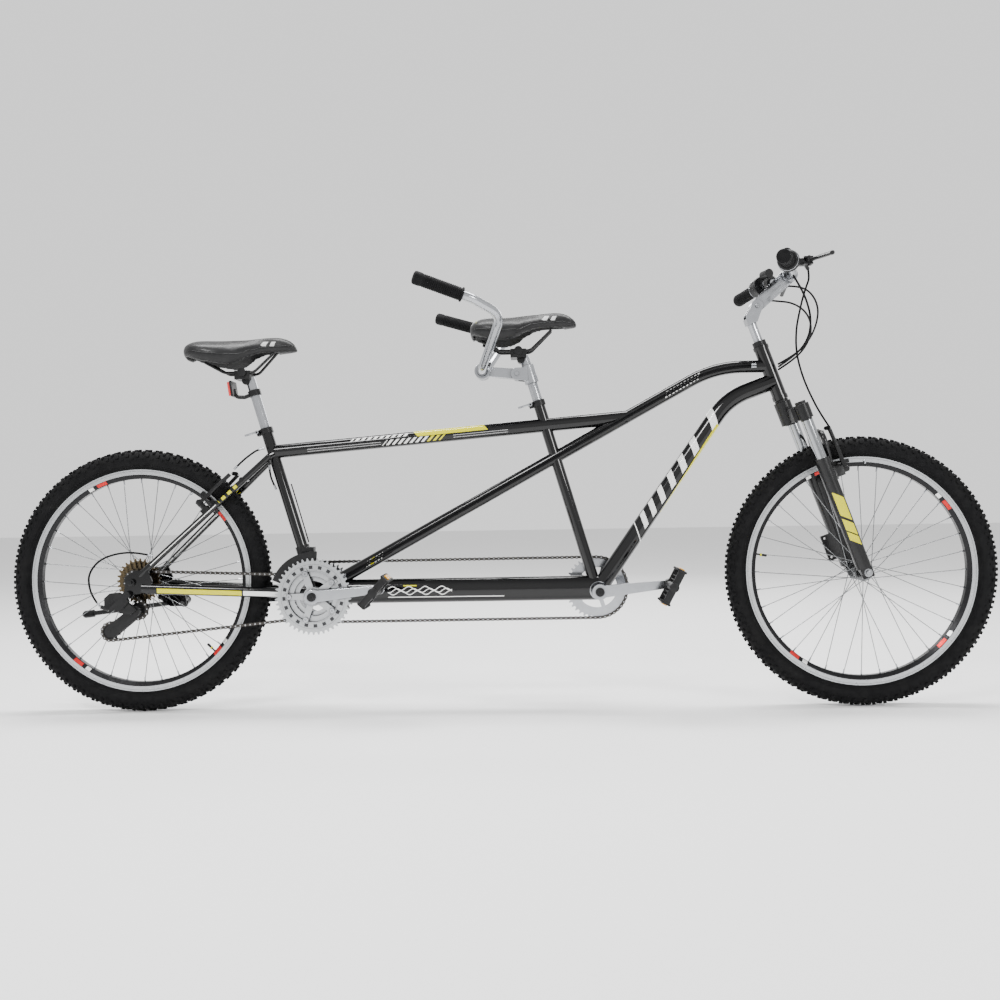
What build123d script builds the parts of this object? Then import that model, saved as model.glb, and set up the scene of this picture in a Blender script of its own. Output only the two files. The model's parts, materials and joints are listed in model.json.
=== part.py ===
from build123d import *
from math import asin, atan2, cos, degrees, pi, radians, sin, sqrt, tan
import os

# Tandem bicycle. Millimetres. +X forward, +Y to the rider's left, +Z up.
# The origin is on the ground, midway between the two axles.

# ---------------------------------------------------------------- driving dimensions
WHEELBASE = 1829.0
TYRE_RADIUS = 338.0
TYRE_WIDTH = 54.0
TREAD_FLAT = 24.0
RIM_OUTER = 286.0
RIM_INNER = 262.0
RIM_WIDTH = 26.0
SPOKE_COUNT = 36
SPOKE_D = 2.0

STOKER_BB = (-457.5, 296.0)
CAPTAIN_BB = (258.5, 299.5)
SEAT_ANGLE = 16.4
SEAT_SETBACK = 4.0
STEER_ANGLE = 20.0
SEAT_TUBE_D = 28.6
POST_D = 25.4
HEAD_TUBE_D = 36.0
HEAD_TUBE_WALL = 2.8
TOP_TUBE_D = 34.9
LATERAL_D = 31.8
DOWN_TUBE_D = 42.0
BOOM_HEIGHT = 62.0
BOOM_WIDTH = 44.0
SHELL_D = 46.0
SHELL_WIDTH = 68.0
SEAT_STAY_D = 16.0
TUBE_WALL = 1.6

STOKER_COLLAR_Z = 724.0
CAPTAIN_COLLAR_Z = 781.0
COLLAR_HEIGHT = 14.0
STOKER_RAIL_Z = 866.0
CAPTAIN_RAIL_Z = 906.0

AXLE_D = 10.0
DROPOUT_INNER = 67.5
DROPOUT_THICKNESS = 6.0
FORK_SPREAD = 65.0
STANCHION_D = 28.0
LOWER_LEG_D = 36.0
STANCHION_OFFSET = 24.0
AXLE_FORWARD = 6.0
HEAD_BOTTOM_U = 483.0
HEAD_TOP_U = 607.0
CROWN_BOTTOM_U = 402.0
LOWER_TOP_U = 302.0
STEERER_D = 25.4
QUILL_D = 22.2

CRANK_LENGTH = 170.0
CRANK_ANGLE = 6.0
CHAIN_PITCH = 12.7
RING_TEETH = (46, 36, 26)
RING_Y = (-62.0, -55.5, -49.0)
TIMING_TEETH = 39
TIMING_Y = 58.0
COG_TEETH = (13, 15, 17, 20, 23, 27)
COG_PITCH = 5.0
COG_FIRST_Y = -49.0
PULLEY_TEETH = 11
GUIDE_PULLEY = (-907.5, 266.4)
TENSION_PULLEY = (-979.7, 212.0)

BAR_D = 22.2
BAR_CENTRE_D = 25.4
GRIP_D = 34.0
SHIFTER_D = 52.0
HOUSING_D = 5.0
RUNNING_GAP = 0.05
BODY_GAP = 0.3

REAR_AXLE_X = -WHEELBASE / 2
FRONT_AXLE_X = WHEELBASE / 2
BB_BY_RIDER = {"stoker": STOKER_BB, "captain": CAPTAIN_BB}

# ---------------------------------------------------------------- helpers


def vec(x, y, z):
    return Vector(x, y, z)


def rod(start, end, radius):
    """Solid round bar between two points."""
    start = Vector(*start)
    end = Vector(*end)
    axis = end - start
    at_start = (Align.CENTER, Align.CENTER, Align.MIN)
    return Plane(origin=start, z_dir=axis) * Cylinder(radius, axis.length, align=at_start)


def sleeve(start, end, outer, inner):
    """Round tube between two points."""
    return rod(start, end, outer) - rod(start, end, inner)


def cone(start, end, start_radius, end_radius):
    """Tapered round bar between two points."""
    start = Vector(*start)
    end = Vector(*end)
    axis = end - start
    at_start = (Align.CENTER, Align.CENTER, Align.MIN)
    return Plane(origin=start, z_dir=axis) * Cone(start_radius, end_radius, axis.length, align=at_start)


def disc(x, z, y_low, y_high, radius):
    """Cylinder whose axis is along Y."""
    return rod((x, y_low, z), (x, y_high, z), radius)


def tube_along(points, radii, section):
    """Sweep of a section along runs joined by tangent arcs."""
    path = FilletPolyline(*points, radius=radii)
    return sweep(Plane(origin=path @ 0, z_dir=path % 0) * section, path=path)


def block(x_size, y_size, z_size, plane):
    """Box centred on a plane's origin."""
    return plane * Box(x_size, y_size, z_size)


def plate(points, y_low, y_high):
    """Flat plate in the bicycle's plane, between two heights along Y."""
    outline = make_face(Polyline(*[(x, y_low, z) for x, z in points], close=True))
    return extrude(outline, amount=y_high - y_low, dir=(0, 1, 0))


def turn_y(shape, x, z, angle):
    """Turns a shape about an axis along Y. Positive carries +X up towards +Z."""
    return shape.rotate(Axis((x, 0, z), (0, -1, 0)), angle)


def left_and_right(shape):
    """The shape with its mirror image across the bicycle's plane."""
    return [shape, shape.mirror(Plane.XZ)]


def joined(shapes):
    """One shape fused from many."""
    total = shapes[0]
    for shape in shapes[1:]:
        total = total + shape
    return total


def apart(shapes):
    """Separate solids kept together in one node."""
    solids = []
    for shape in shapes:
        solids.extend(shape.solids())
    return Compound(children=solids)


def save(name, shape):
    export_step(shape, f"parts/{name}.step")


# ---------------------------------------------------------------- reference lines


def seat_line(bb, z, side=0.0):
    """Point on a seat tube's axis at height z, moved forward by side across the axis."""
    slope = tan(radians(SEAT_ANGLE))
    x = bb[0] - SEAT_SETBACK - (z - bb[1]) * slope
    return (x + side * cos(radians(SEAT_ANGLE)), 0.0, z + side * sin(radians(SEAT_ANGLE)))


FORK_UP = Vector(-sin(radians(STEER_ANGLE)), 0, cos(radians(STEER_ANGLE)))
FORK_FORWARD = Vector(cos(radians(STEER_ANGLE)), 0, sin(radians(STEER_ANGLE)))
FRONT_AXLE = Vector(FRONT_AXLE_X, 0, TYRE_RADIUS)


def fork_point(forward, y, up):
    """Point in the fork's own frame: forward of the stanchion axis, across, and up from the axle."""
    point = FRONT_AXLE + FORK_FORWARD * (forward - AXLE_FORWARD) + FORK_UP * up
    return (point.X, y, point.Z)


def fork_plane(forward, y, up):
    """Plane at a fork point whose local X is forward, Y across and Z up the fork."""
    return Plane(origin=fork_point(forward, y, up), x_dir=FORK_FORWARD, z_dir=FORK_UP)


STEER_F = -STANCHION_OFFSET
STAY_ANGLE = 43.0
STAY_ALONG = Vector(cos(radians(STAY_ANGLE)), 0, sin(radians(STAY_ANGLE)))
STAY_OUT = Vector(-sin(radians(STAY_ANGLE)), 0, cos(radians(STAY_ANGLE)))
REAR_AXLE = Vector(REAR_AXLE_X, 0, TYRE_RADIUS)


def stay_point(out, y, along):
    """Point in the seat stays' frame: out of their plane to the rear, across, and up from the axle."""
    point = REAR_AXLE + STAY_OUT * out + STAY_ALONG * along
    return (point.X, y, point.Z)


def stay_plane(out, y, along):
    return Plane(origin=stay_point(out, y, along), x_dir=STAY_OUT, z_dir=STAY_ALONG)


# ---------------------------------------------------------------- frame tubes

LATERAL_ROUTE = [(STOKER_BB[0], 0, 303.0), (559.3, 0, 856.0), (690.0, 0, 856.0)]
TOP_ROUTE = [(-562.0, 0, 663.5), (338.0, 0, 734.6)]
DOWN_ROUTE = [(CAPTAIN_BB[0], 0, CAPTAIN_BB[1]), (591.0, 0, 776.0), (707.0, 0, 818.0)]
BOOM_ROUTE = [(STOKER_BB[0], 0, 302.0), (CAPTAIN_BB[0], 0, 304.0)]
LATERAL_BEND = 270.0
DOWN_BEND = 160.0


def round_tube(points, bend, diameter):
    """Outer solid and bore of a round frame tube."""
    shapes = []
    for radius in (diameter / 2, diameter / 2 - TUBE_WALL):
        if len(points) == 2:
            shapes.append(rod(points[0], points[1], radius))
        else:
            shapes.append(tube_along(points, bend, Circle(radius)))
    return shapes


def boom_shapes():
    start = Vector(*BOOM_ROUTE[0])
    axis = Vector(*BOOM_ROUTE[1]) - start
    plane = Plane(origin=start, x_dir=(0, 1, 0), z_dir=axis)
    shapes = []
    for wall in (0.0, TUBE_WALL):
        section = plane * Ellipse(BOOM_WIDTH / 2 - wall, BOOM_HEIGHT / 2 - wall)
        shapes.append(extrude(section, amount=axis.length))
    return shapes


def seat_tube_shapes(rider, top_z):
    bb = BB_BY_RIDER[rider]
    foot = seat_line(bb, bb[1])
    top = seat_line(bb, top_z)
    return rod(foot, top, SEAT_TUBE_D / 2), rod(foot, top, POST_D / 2 + RUNNING_GAP)


def shell_outer(rider):
    bb = BB_BY_RIDER[rider]
    return disc(bb[0], bb[1], -SHELL_WIDTH / 2, SHELL_WIDTH / 2, SHELL_D / 2)


def build_frame_tubes():
    """Mitred frame tubes: each tube stops at the outside of those it meets."""
    shells = {rider: shell_outer(rider) for rider in BB_BY_RIDER}
    both_shells = shells["stoker"] + shells["captain"]
    head_low = fork_point(STEER_F, 0, HEAD_BOTTOM_U)
    head_high = fork_point(STEER_F, 0, HEAD_TOP_U)
    head_outer = rod(head_low, head_high, HEAD_TUBE_D / 2)
    head_bore = rod(head_low, head_high, HEAD_TUBE_D / 2 - HEAD_TUBE_WALL)
    captain_outer, captain_bore = seat_tube_shapes("captain", CAPTAIN_COLLAR_Z)
    stoker_outer, stoker_bore = seat_tube_shapes("stoker", STOKER_COLLAR_Z)
    lateral_outer, lateral_bore = round_tube(LATERAL_ROUTE, LATERAL_BEND, LATERAL_D)
    top_outer, top_bore = round_tube(TOP_ROUTE, 0, TOP_TUBE_D)
    down_outer, down_bore = round_tube(DOWN_ROUTE, DOWN_BEND, DOWN_TUBE_D)
    boom_outer, boom_bore = boom_shapes()

    slot_low = seat_line(CAPTAIN_BB, CAPTAIN_COLLAR_Z - 34)
    slot_high = seat_line(CAPTAIN_BB, CAPTAIN_COLLAR_Z + 2)
    save("captain_seat_tube", (captain_outer - captain_bore - both_shells).solid())
    save("stoker_seat_tube", (stoker_outer - stoker_bore - both_shells).solid())
    seat_tubes = captain_outer + stoker_outer
    boom = boom_outer - boom_bore - both_shells - seat_tubes
    save("boom_tube", apart([boom]))
    lateral = lateral_outer - lateral_bore - both_shells - seat_tubes - head_outer - boom_outer
    save("lateral_tube", apart(keep_long(lateral, 40)))
    top = top_outer - top_bore - seat_tubes - lateral_outer
    save("top_tube", apart(keep_long(top, 40)))
    down = down_outer - down_bore - both_shells - head_outer - lateral_outer - boom_outer - captain_outer
    save("down_tube", apart(keep_long(down, 40)))
    save("head_tube", apart([head_outer - head_bore, *headset_cups()]))
    return {"seat_tubes": seat_tubes, "shells": both_shells, "lateral": lateral_outer, "boom": boom_outer,
            "top": top_outer, "down": down_outer, "head": head_outer}


def keep_long(shape, length):
    """Drops the slivers that a mitre leaves inside a neighbouring tube."""
    return [s for s in shape.solids() if max(s.bounding_box().size) > length]


def headset_cups():
    """Pressed upper and lower headset cups, with the steerer running through them."""
    cups = []
    for press_low, press_high, low, high in (
        (HEAD_BOTTOM_U, HEAD_BOTTOM_U + 8, HEAD_BOTTOM_U - 11, HEAD_BOTTOM_U),
        (HEAD_TOP_U - 8, HEAD_TOP_U, HEAD_TOP_U, HEAD_TOP_U + 9),
    ):
        body = rod(fork_point(STEER_F, 0, low), fork_point(STEER_F, 0, high), HEAD_TUBE_D / 2 + 1.5)
        low_point = fork_point(STEER_F, 0, press_low)
        pressed = rod(low_point, fork_point(STEER_F, 0, press_high), HEAD_TUBE_D / 2 - HEAD_TUBE_WALL)
        bore_low = fork_point(STEER_F, 0, min(low, press_low))
        bore_high = fork_point(STEER_F, 0, max(high, press_high))
        cups.append(body + pressed - rod(bore_low, bore_high, STEERER_D / 2 + RUNNING_GAP))
    return cups


# ---------------------------------------------------------------- bottom brackets and rear end

SPINDLE_D = 17.0
STAY_FRONT = (-482.0, 32.0, 301.0)
STAY_REAR = (-890.0, 70.0, 322.0)
STAY_HEIGHT = 26.0
STAY_WIDTH = 17.0
SEAT_STAY_TOP = (-574.0, 24.0, 650.0)
SEAT_STAY_REAR = (-896.0, 69.0, 354.0)
BRAKE_STUD_ALONG = 255.0
BRAKE_STUD_Y = 40.0
BRAKE_OUT = {"front": 46.0, "rear": 25.0}
CALIPER_HOLES = 51.0
CALIPER_HOLE_D = 6.0
STUD_D = 8.0


def build_bottom_brackets():
    """Two shells with a bearing cup each side, bored for the crank spindles."""
    solids = []
    for bb in BB_BY_RIDER.values():
        cup_inner = SHELL_WIDTH / 2 - 14
        shell = disc(bb[0], bb[1], -SHELL_WIDTH / 2, SHELL_WIDTH / 2, SHELL_D / 2)
        solids.append(shell - disc(bb[0], bb[1], -SHELL_WIDTH / 2, SHELL_WIDTH / 2, SHELL_D / 2 - 4))
        for side in (-1, 1):
            low, high = sorted((side * cup_inner, side * (SHELL_WIDTH / 2 + 2)))
            cup = disc(bb[0], bb[1], low, high, SHELL_D / 2 - 4)
            solids.append(cup - disc(bb[0], bb[1], low, high, SPINDLE_D / 2 + RUNNING_GAP))
    save("bottom_brackets", apart(solids))


def build_stays(frame):
    """Chain stays, seat stays with the brake bridge and studs, and the dropout plates."""
    half_shell = SHELL_WIDTH / 2 + 4
    hub_space = [disc(*bb, -half_shell, half_shell, SHELL_D / 2) for bb in BB_BY_RIDER.values()]
    section = Ellipse(STAY_WIDTH / 2, STAY_HEIGHT / 2)
    chain_stay = tube_along([(-462, 27, 300), STAY_FRONT, STAY_REAR], 60, section)
    bridge = rod((-552, -42, 306), (-552, 42, 306), 7)
    stays = joined([*left_and_right(chain_stay), bridge]) - joined(hub_space) - frame["seat_tubes"]
    stays = stays - frame["boom"] - tyre_clearance()
    save("chain_stays", apart(keep_long(stays, 60)))

    seat_stay = rod(SEAT_STAY_TOP, SEAT_STAY_REAR, SEAT_STAY_D / 2)
    root = rod((-564, 8, 658), SEAT_STAY_TOP, SEAT_STAY_D / 2)
    cap = Pos(*SEAT_STAY_TOP) * Sphere(SEAT_STAY_D / 2)
    bridge_at = stay_point(0, 0, 374)
    bridge = rod((bridge_at[0], -42, bridge_at[2]), (bridge_at[0], 42, bridge_at[2]), 6)
    out = BRAKE_OUT["rear"]
    studs = [rod(stay_point(2, y, BRAKE_STUD_ALONG), stay_point(out + 16, y, BRAKE_STUD_ALONG), STUD_D / 2)
             for y in (-BRAKE_STUD_Y, BRAKE_STUD_Y)]
    bosses = [rod(stay_point(2, y, BRAKE_STUD_ALONG), stay_point(out - BODY_GAP, y, BRAKE_STUD_ALONG), 7.5)
              for y in (-BRAKE_STUD_Y, BRAKE_STUD_Y)]
    pads = [block(14, 14, 22, stay_plane(6, y, BRAKE_STUD_ALONG)) for y in (-44, 44)]
    upper = joined([*left_and_right(seat_stay + root + cap), bridge, *bosses, *studs, *pads])
    upper = upper - frame["seat_tubes"] - frame["top"] - tyre_clearance()
    save("seat_stays", apart(keep_long(upper, 60)))

    outline = [(-932, 350), (-906, 368), (-872, 366), (-862, 340), (-868, 312), (-904, 308), (-930, 322)]
    pieces = []
    for side in (-1, 1):
        low, high = sorted((side * DROPOUT_INNER, side * (DROPOUT_INNER + DROPOUT_THICKNESS)))
        dropout = plate(outline, low, high)
        if side < 0:
            dropout = dropout + plate(HANGER, low, high)
        else:
            dropout = dropout + kickstand_bracket()
        dropout = dropout - disc(REAR_AXLE_X, TYRE_RADIUS, low - 1, high + 1, AXLE_D / 2)
        pieces.append(dropout - upper - stays)
    solids = [s for shape in pieces for s in shape.solids() if s.volume > 300]
    save("dropouts", apart([*solids, rear_axle()]))


def tyre_clearance():
    """Space that the rear tyre needs between the chain stays."""
    return disc(REAR_AXLE_X, TYRE_RADIUS, -TYRE_WIDTH / 2 - 3, TYRE_WIDTH / 2 + 3, TYRE_RADIUS + 6)


HANGER = [(-936, 298), (-912, 298), (-902, 330), (-932, 330)]

# ---------------------------------------------------------------- kickstand

KICK_PIVOT = Vector(-838.0, 92.0, 274.0)
KICK_FOLDED_FOOT = Vector(-1112.0, 100.0, 240.0)
KICK_DOWN_FOOT = Vector(-806.0, 176.0, 12.0)
KICK_FOLDED = (KICK_FOLDED_FOOT - KICK_PIVOT).normalized()
KICK_AXIS = KICK_FOLDED.cross((KICK_DOWN_FOOT - KICK_PIVOT).normalized()).normalized()


def kickstand_bracket():
    """Bracket below the left chain stay, with the stand's pivot pin between two cheeks."""
    web_outline = [(-904, 318), (-862, 318), (-832, 298), (-826, 262), (-872, 262), (-904, 284)]
    web = plate(web_outline, DROPOUT_INNER + 4, 77)
    pin = rod(KICK_PIVOT - KICK_AXIS * 13, KICK_PIVOT + KICK_AXIS * 13, 4)
    cheeks = []
    for side in (-1, 1):
        inner = KICK_PIVOT + KICK_AXIS * (side * 9.3)
        outer = KICK_PIVOT + KICK_AXIS * (side * 13)
        cheeks.append(rod(inner, outer, 12))
    low, high = (-13, 13)
    behind = KICK_PIVOT - vec(0, 11, 0)
    back = rod(behind + KICK_AXIS * low, behind + KICK_AXIS * high, 6)
    bracket = joined([web, *cheeks, back])
    hub_space = rod(KICK_PIVOT - KICK_AXIS * 9.3, KICK_PIVOT + KICK_AXIS * 9.3, 11.5)
    return bracket - hub_space + pin


def build_kickstand():
    """Folded leg with its hub on the pivot pin and a rubber foot."""
    hub = rod(KICK_PIVOT - KICK_AXIS * 9, KICK_PIVOT + KICK_AXIS * 9, 11)
    leg = rod(KICK_PIVOT, KICK_FOLDED_FOOT, 6.5)
    foot = rod(KICK_FOLDED_FOOT - KICK_FOLDED * 22, KICK_FOLDED_FOOT, 10)
    foot = foot + Pos(*KICK_FOLDED_FOOT) * Sphere(10)
    bore = rod(KICK_PIVOT - KICK_AXIS * 12, KICK_PIVOT + KICK_AXIS * 12, 4 + RUNNING_GAP)
    save("kickstand", (hub + leg + foot - bore).solid())


# ---------------------------------------------------------------- collars and posts


def build_collars():
    """Split collars on the seat tubes, each with a cam lever on its own pin."""
    collars = []
    for rider, top_z in (("stoker", STOKER_COLLAR_Z), ("captain", CAPTAIN_COLLAR_Z)):
        bb = BB_BY_RIDER[rider]
        low = seat_line(bb, top_z - COLLAR_HEIGHT)
        high = seat_line(bb, top_z)
        ring = rod(low, high, SEAT_TUBE_D / 2 + 3)
        clamp_at = seat_line(bb, top_z - COLLAR_HEIGHT / 2, -19)
        middle = Plane(origin=clamp_at, x_dir=seat_forward(), z_dir=seat_up())
        ears = middle * Box(12, 14, COLLAR_HEIGHT)
        slot = middle * Pos(4, 0, 0) * Box(24, 3, COLLAR_HEIGHT + 2)
        centre = middle * Pos(-2, 0, 2)
        pin = centre * Rot(90, 0, 0) * Cylinder(2.5, 38)
        nut = centre * Pos(0, 11, 0) * Rot(90, 0, 0) * Cylinder(5.5, 5)
        collar = ring + ears - slot - rod(low, high, SEAT_TUBE_D / 2)
        collars.append(collar + pin + nut)
        hub = centre * Pos(0, -13.5, 0) * Rot(90, 0, 0) * Cylinder(4.8, 11)
        bore = centre * Pos(0, -13, 0) * Rot(90, 0, 0) * Cylinder(2.5 + RUNNING_GAP, 20)
        lever = centre * Pos(-17, -15, 1) * Box(30, 6, 5)
        save(f"{rider}_collar_lever", (hub + lever - bore).solid())
    save("seat_collars", apart(collars))


def seat_up():
    return Vector(-sin(radians(SEAT_ANGLE)), 0, cos(radians(SEAT_ANGLE)))


def seat_forward():
    return Vector(cos(radians(SEAT_ANGLE)), 0, sin(radians(SEAT_ANGLE)))


RAIL_Z = {"stoker": STOKER_RAIL_Z, "captain": CAPTAIN_RAIL_Z}
RAIL_RISES = {"stoker": (26.0, 54.0), "captain": (24.0, 52.0)}


def saddle_rails(rider):
    """The two steel rails: level through the clamp, rising to the tail and to the nose."""
    rail_z = RAIL_Z[rider]
    x = seat_line(BB_BY_RIDER[rider], rail_z)[0] - 10
    rear_rise, nose_rise = RAIL_RISES[rider]
    rails = []
    for side in (-1, 1):
        route = [
            (x - 92, side * 34, rail_z + rear_rise),
            (x - 46, side * 22, rail_z),
            (x + 30, side * 22, rail_z),
            (x + 84, side * 11, rail_z + nose_rise),
        ]
        rails.append(tube_along(route, 22, Circle(3.5)))
    return x, rails


def build_posts():
    """Seat posts, each with its clamp and rails; the front one carries the rear stem's clamp."""
    for rider, collar_z in (("stoker", STOKER_COLLAR_Z), ("captain", CAPTAIN_COLLAR_Z)):
        bb = BB_BY_RIDER[rider]
        rail_z = RAIL_Z[rider]
        post = rod(seat_line(bb, collar_z - 150), seat_line(bb, rail_z - 12), POST_D / 2)
        x, rails = saddle_rails(rider)
        body = Pos(x, 0, rail_z - 6) * Box(40, 52, 22)
        barrel = rod((x, -31, rail_z), (x, 31, rail_z), 11)
        cradle = rod((x + 6, -14, rail_z - 20), (x + 6, 14, rail_z - 20), 10)
        head = joined([body, barrel, cradle]) - joined(rails) - post
        shapes = [post, head, *rails]
        if rider == "stoker":
            shapes.append(reflector_bracket() - post)
            shapes.append(reflector_lens())
        else:
            shapes.append(stoker_stem_clamp() - post)
        save(f"{rider}_post", apart(shapes))


REFLECTOR_Z = 815.0
REFLECTOR_AT = (-669.0, 0.0, 826.0)
REFLECTOR_LEAN = 8.0


def reflector_bracket():
    """Clip round the rear post and a curved arm back to the reflector."""
    low = seat_line(STOKER_BB, REFLECTOR_Z - 7)
    high = seat_line(STOKER_BB, REFLECTOR_Z + 7)
    middle = seat_line(STOKER_BB, REFLECTOR_Z)
    clip = rod(low, high, POST_D / 2 + 3.5)
    arm = tube_along([middle, (-640, 0, 805), (-663, 0, 806), (-669, 0, 826)], 12, Circle(5))
    return clip + arm + reflector_at(0) * Box(5, 48, 40)


def reflector_lens():
    return reflector_at(-5.5) * Box(6, 44, 36)


def reflector_at(offset):
    """Upright plane of the reflector, leaning with the post."""
    lean = radians(REFLECTOR_LEAN)
    upright = Plane(origin=REFLECTOR_AT, x_dir=(cos(lean), 0, sin(lean)), z_dir=(-sin(lean), 0, cos(lean)))
    return upright * Pos(offset, 0, 0)


# ---------------------------------------------------------------- saddles


SADDLE_STATIONS = {
    # x along the saddle, height of its top, height of its lowest edge, width
    "stoker": (
        (-787, 928, 912, 50), (-777, 943, 894, 118), (-752, 948, 882, 156), (-718, 948, 871, 170),
        (-684, 947.5, 863, 164), (-652, 948.5, 868, 130), (-620, 950, 892, 92), (-585, 953.5, 907, 66),
        (-550, 954.5, 911, 55), (-520, 948, 914, 44), (-500, 926, 916, 20),
    ),
    "captain": (
        (-56, 966, 952, 50), (-46, 981, 932, 118), (-22, 988.5, 918, 156), (12, 989.5, 908, 170),
        (44, 990, 910, 160), (78, 993.5, 930, 116), (112, 997, 951, 78), (148, 1000.5, 956, 61),
        (180, 999.5, 958, 51), (203, 989, 961, 42), (216.5, 973, 964, 20),
    ),
}
SADDLE_WALL = 11.0
SADDLE_PADDING = 24.0


def build_saddle(rider):
    """Soft saddle: a padded top over a hollow underside that the rails sit in."""
    outer = []
    inner = []
    for x, top, low, width in SADDLE_STATIONS[rider]:
        plane = Plane(origin=(x, 0, (top + low) / 2), x_dir=(0, 1, 0), z_dir=(1, 0, 0))
        outer.append(plane * Ellipse(width / 2, (top - low) / 2))
    for x, top, low, width in SADDLE_STATIONS[rider][1:-2]:
        plane = Plane(origin=(x, 0, low - 6), x_dir=(0, 1, 0), z_dir=(1, 0, 0))
        inner.append(plane * Ellipse(width / 2 - SADDLE_WALL, top - low - SADDLE_PADDING + 6))
    _, rails = saddle_rails(rider)
    save(f"{rider}_saddle", (loft(outer) - loft(inner) - joined(rails)).solids()[0])


# ---------------------------------------------------------------- rear stem and bar

STEM_CLAMP_Z = 848.0
STOKER_STEM_PIVOT = (61.0, 0.0, 849.0)
STOKER_BAR_AT = (-26.0, 0.0, 857.0)
STOKER_BAR_HALF = [(-26, 44, 857), (30, 180, 968), (-36, 228, 1000), (-163, 266, 1043)]
STOKER_GRIP_LENGTH = 116.0


def stoker_stem_clamp():
    """Clamp on the front seat post with a fork that holds the rear stem's pivot bolt."""
    low = seat_line(CAPTAIN_BB, STEM_CLAMP_Z - 22)
    high = seat_line(CAPTAIN_BB, STEM_CLAMP_Z + 22)
    ring = rod(low, high, POST_D / 2 + 5)
    x, _, z = STOKER_STEM_PIVOT
    fork = [disc(x, z, low_y, low_y + 6, 15) for low_y in (-18.3, 12.3)]
    webs = [plate([(x - 4, z - 15), (x + 24, z - 18), (x + 26, z + 16), (x - 4, z + 15)], low_y, low_y + 6)
            for low_y in (-18.3, 12.3)]
    bridge = plate([(x + 18, z - 16), (x + 28, z - 18), (x + 28, z + 18), (x + 18, z + 16)], -18.3, 18.3)
    bolt = disc(x, z, -22, 22, 5)
    body = joined([ring, *fork, *webs, bridge, bolt])
    return body - disc(x, z, -12.3, 12.3, 17) - rod(low, high, POST_D / 2) + bolt


def both_halves(half):
    """Full handlebar route from its left half."""
    right = [(x, -y, z) for x, y, z in reversed(half)]
    return right + [p for p in half]


def bar_tube(half, radii, outer, wall):
    route = both_halves(half)
    corners = list(reversed(radii)) + list(radii)
    return tube_along(route, corners, Circle(outer) - Circle(outer - wall))


def end_of(half):
    """Last point of a half route and the unit direction of its last run."""
    last = Vector(*half[-1])
    along = (last - Vector(*half[-2])).normalized()
    return last, along


def grip_solids(half, length, outer, bore):
    """A closed-ended grip on each end of a bar."""
    solids = []
    last, along = end_of(half)
    body = rod(last - along * length, last + along * 3, outer) - rod(last - along * length, last, bore)
    flange = sleeve(last - along * length, last - along * (length - 4), outer + 2.5, outer)
    return left_and_right(body + flange)


def build_stoker_bar():
    x, _, z = STOKER_STEM_PIVOT
    bx, _, bz = STOKER_BAR_AT
    tongue = disc(x, z, -12, 12, 15)
    arm = plate([(x + 2, z + 13), (bx + 4, bz + 12), (bx + 4, bz - 12), (x + 2, z - 13)], -12, 12)
    clamp = disc(bx, bz, -21, 21, 20)
    bar_bore = disc(bx, bz, -21, 21, BAR_CENTRE_D / 2)
    bolt_bore = disc(x, z, -13, 13, 5 + RUNNING_GAP)
    extension = tongue + arm + clamp - bar_bore - bolt_bore
    save("stoker_stem", extension.solid())
    bulge = disc(bx, bz, -34, 34, BAR_CENTRE_D / 2)
    bar = bar_tube(STOKER_BAR_HALF, [46, 50, 60], BAR_D / 2, 2)
    solids = [bar - bulge, bulge - disc(bx, bz, -34, 34, BAR_D / 2 - 2)]
    save("stoker_handlebar", joined(solids).solid())
    save("stoker_grips", apart(grip_solids(STOKER_BAR_HALF, STOKER_GRIP_LENGTH, GRIP_D / 2 - 1, BAR_D / 2)))


# ---------------------------------------------------------------- fork

FORK_ARCH_UP = 366.0


def build_fork_crown():
    """Crown with both stanchions and the steerer, the crown race and the locknut."""
    blocks = [rod(fork_point(0, y, CROWN_BOTTOM_U + 4), fork_point(0, y, CROWN_BOTTOM_U + 42), 18.5)
              for y in (-FORK_SPREAD, FORK_SPREAD)]
    caps = [rod(fork_point(0, y, CROWN_BOTTOM_U + 42), fork_point(0, y, CROWN_BOTTOM_U + 49), 13)
            for y in (-FORK_SPREAD, FORK_SPREAD)]
    bridge = block(32, 2 * FORK_SPREAD, 34, fork_plane(STEER_F + 12, 0, CROWN_BOTTOM_U + 23))
    boss = rod(fork_point(STEER_F, 0, CROWN_BOTTOM_U + 4), fork_point(STEER_F, 0, HEAD_BOTTOM_U - 17), 21)
    race = rod(fork_point(STEER_F, 0, HEAD_BOTTOM_U - 17), fork_point(STEER_F, 0, HEAD_BOTTOM_U - 11.3), 17)
    crown = joined([bridge, *blocks, *caps, boss, race])
    low = fork_point(STEER_F, 0, CROWN_BOTTOM_U + 2)
    steerer = rod(low, fork_point(STEER_F, 0, HEAD_TOP_U + 22), STEERER_D / 2)
    crown = crown + steerer
    stanchion_low = LOWER_TOP_U - 140
    legs = [rod(fork_point(0, y, stanchion_low), fork_point(0, y, CROWN_BOTTOM_U + 40), STANCHION_D / 2)
            for y in (-FORK_SPREAD, FORK_SPREAD)]
    crown = crown - joined(legs) - rod(low, fork_point(STEER_F, 0, HEAD_TOP_U + 22), QUILL_D / 2 + 0.1)
    nut_low = fork_point(STEER_F, 0, HEAD_TOP_U + 9.3)
    nut = sleeve(nut_low, fork_point(STEER_F, 0, HEAD_TOP_U + 22), 17, STEERER_D / 2)
    save("fork_crown", apart([crown.solid(), nut, *legs]))


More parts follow.
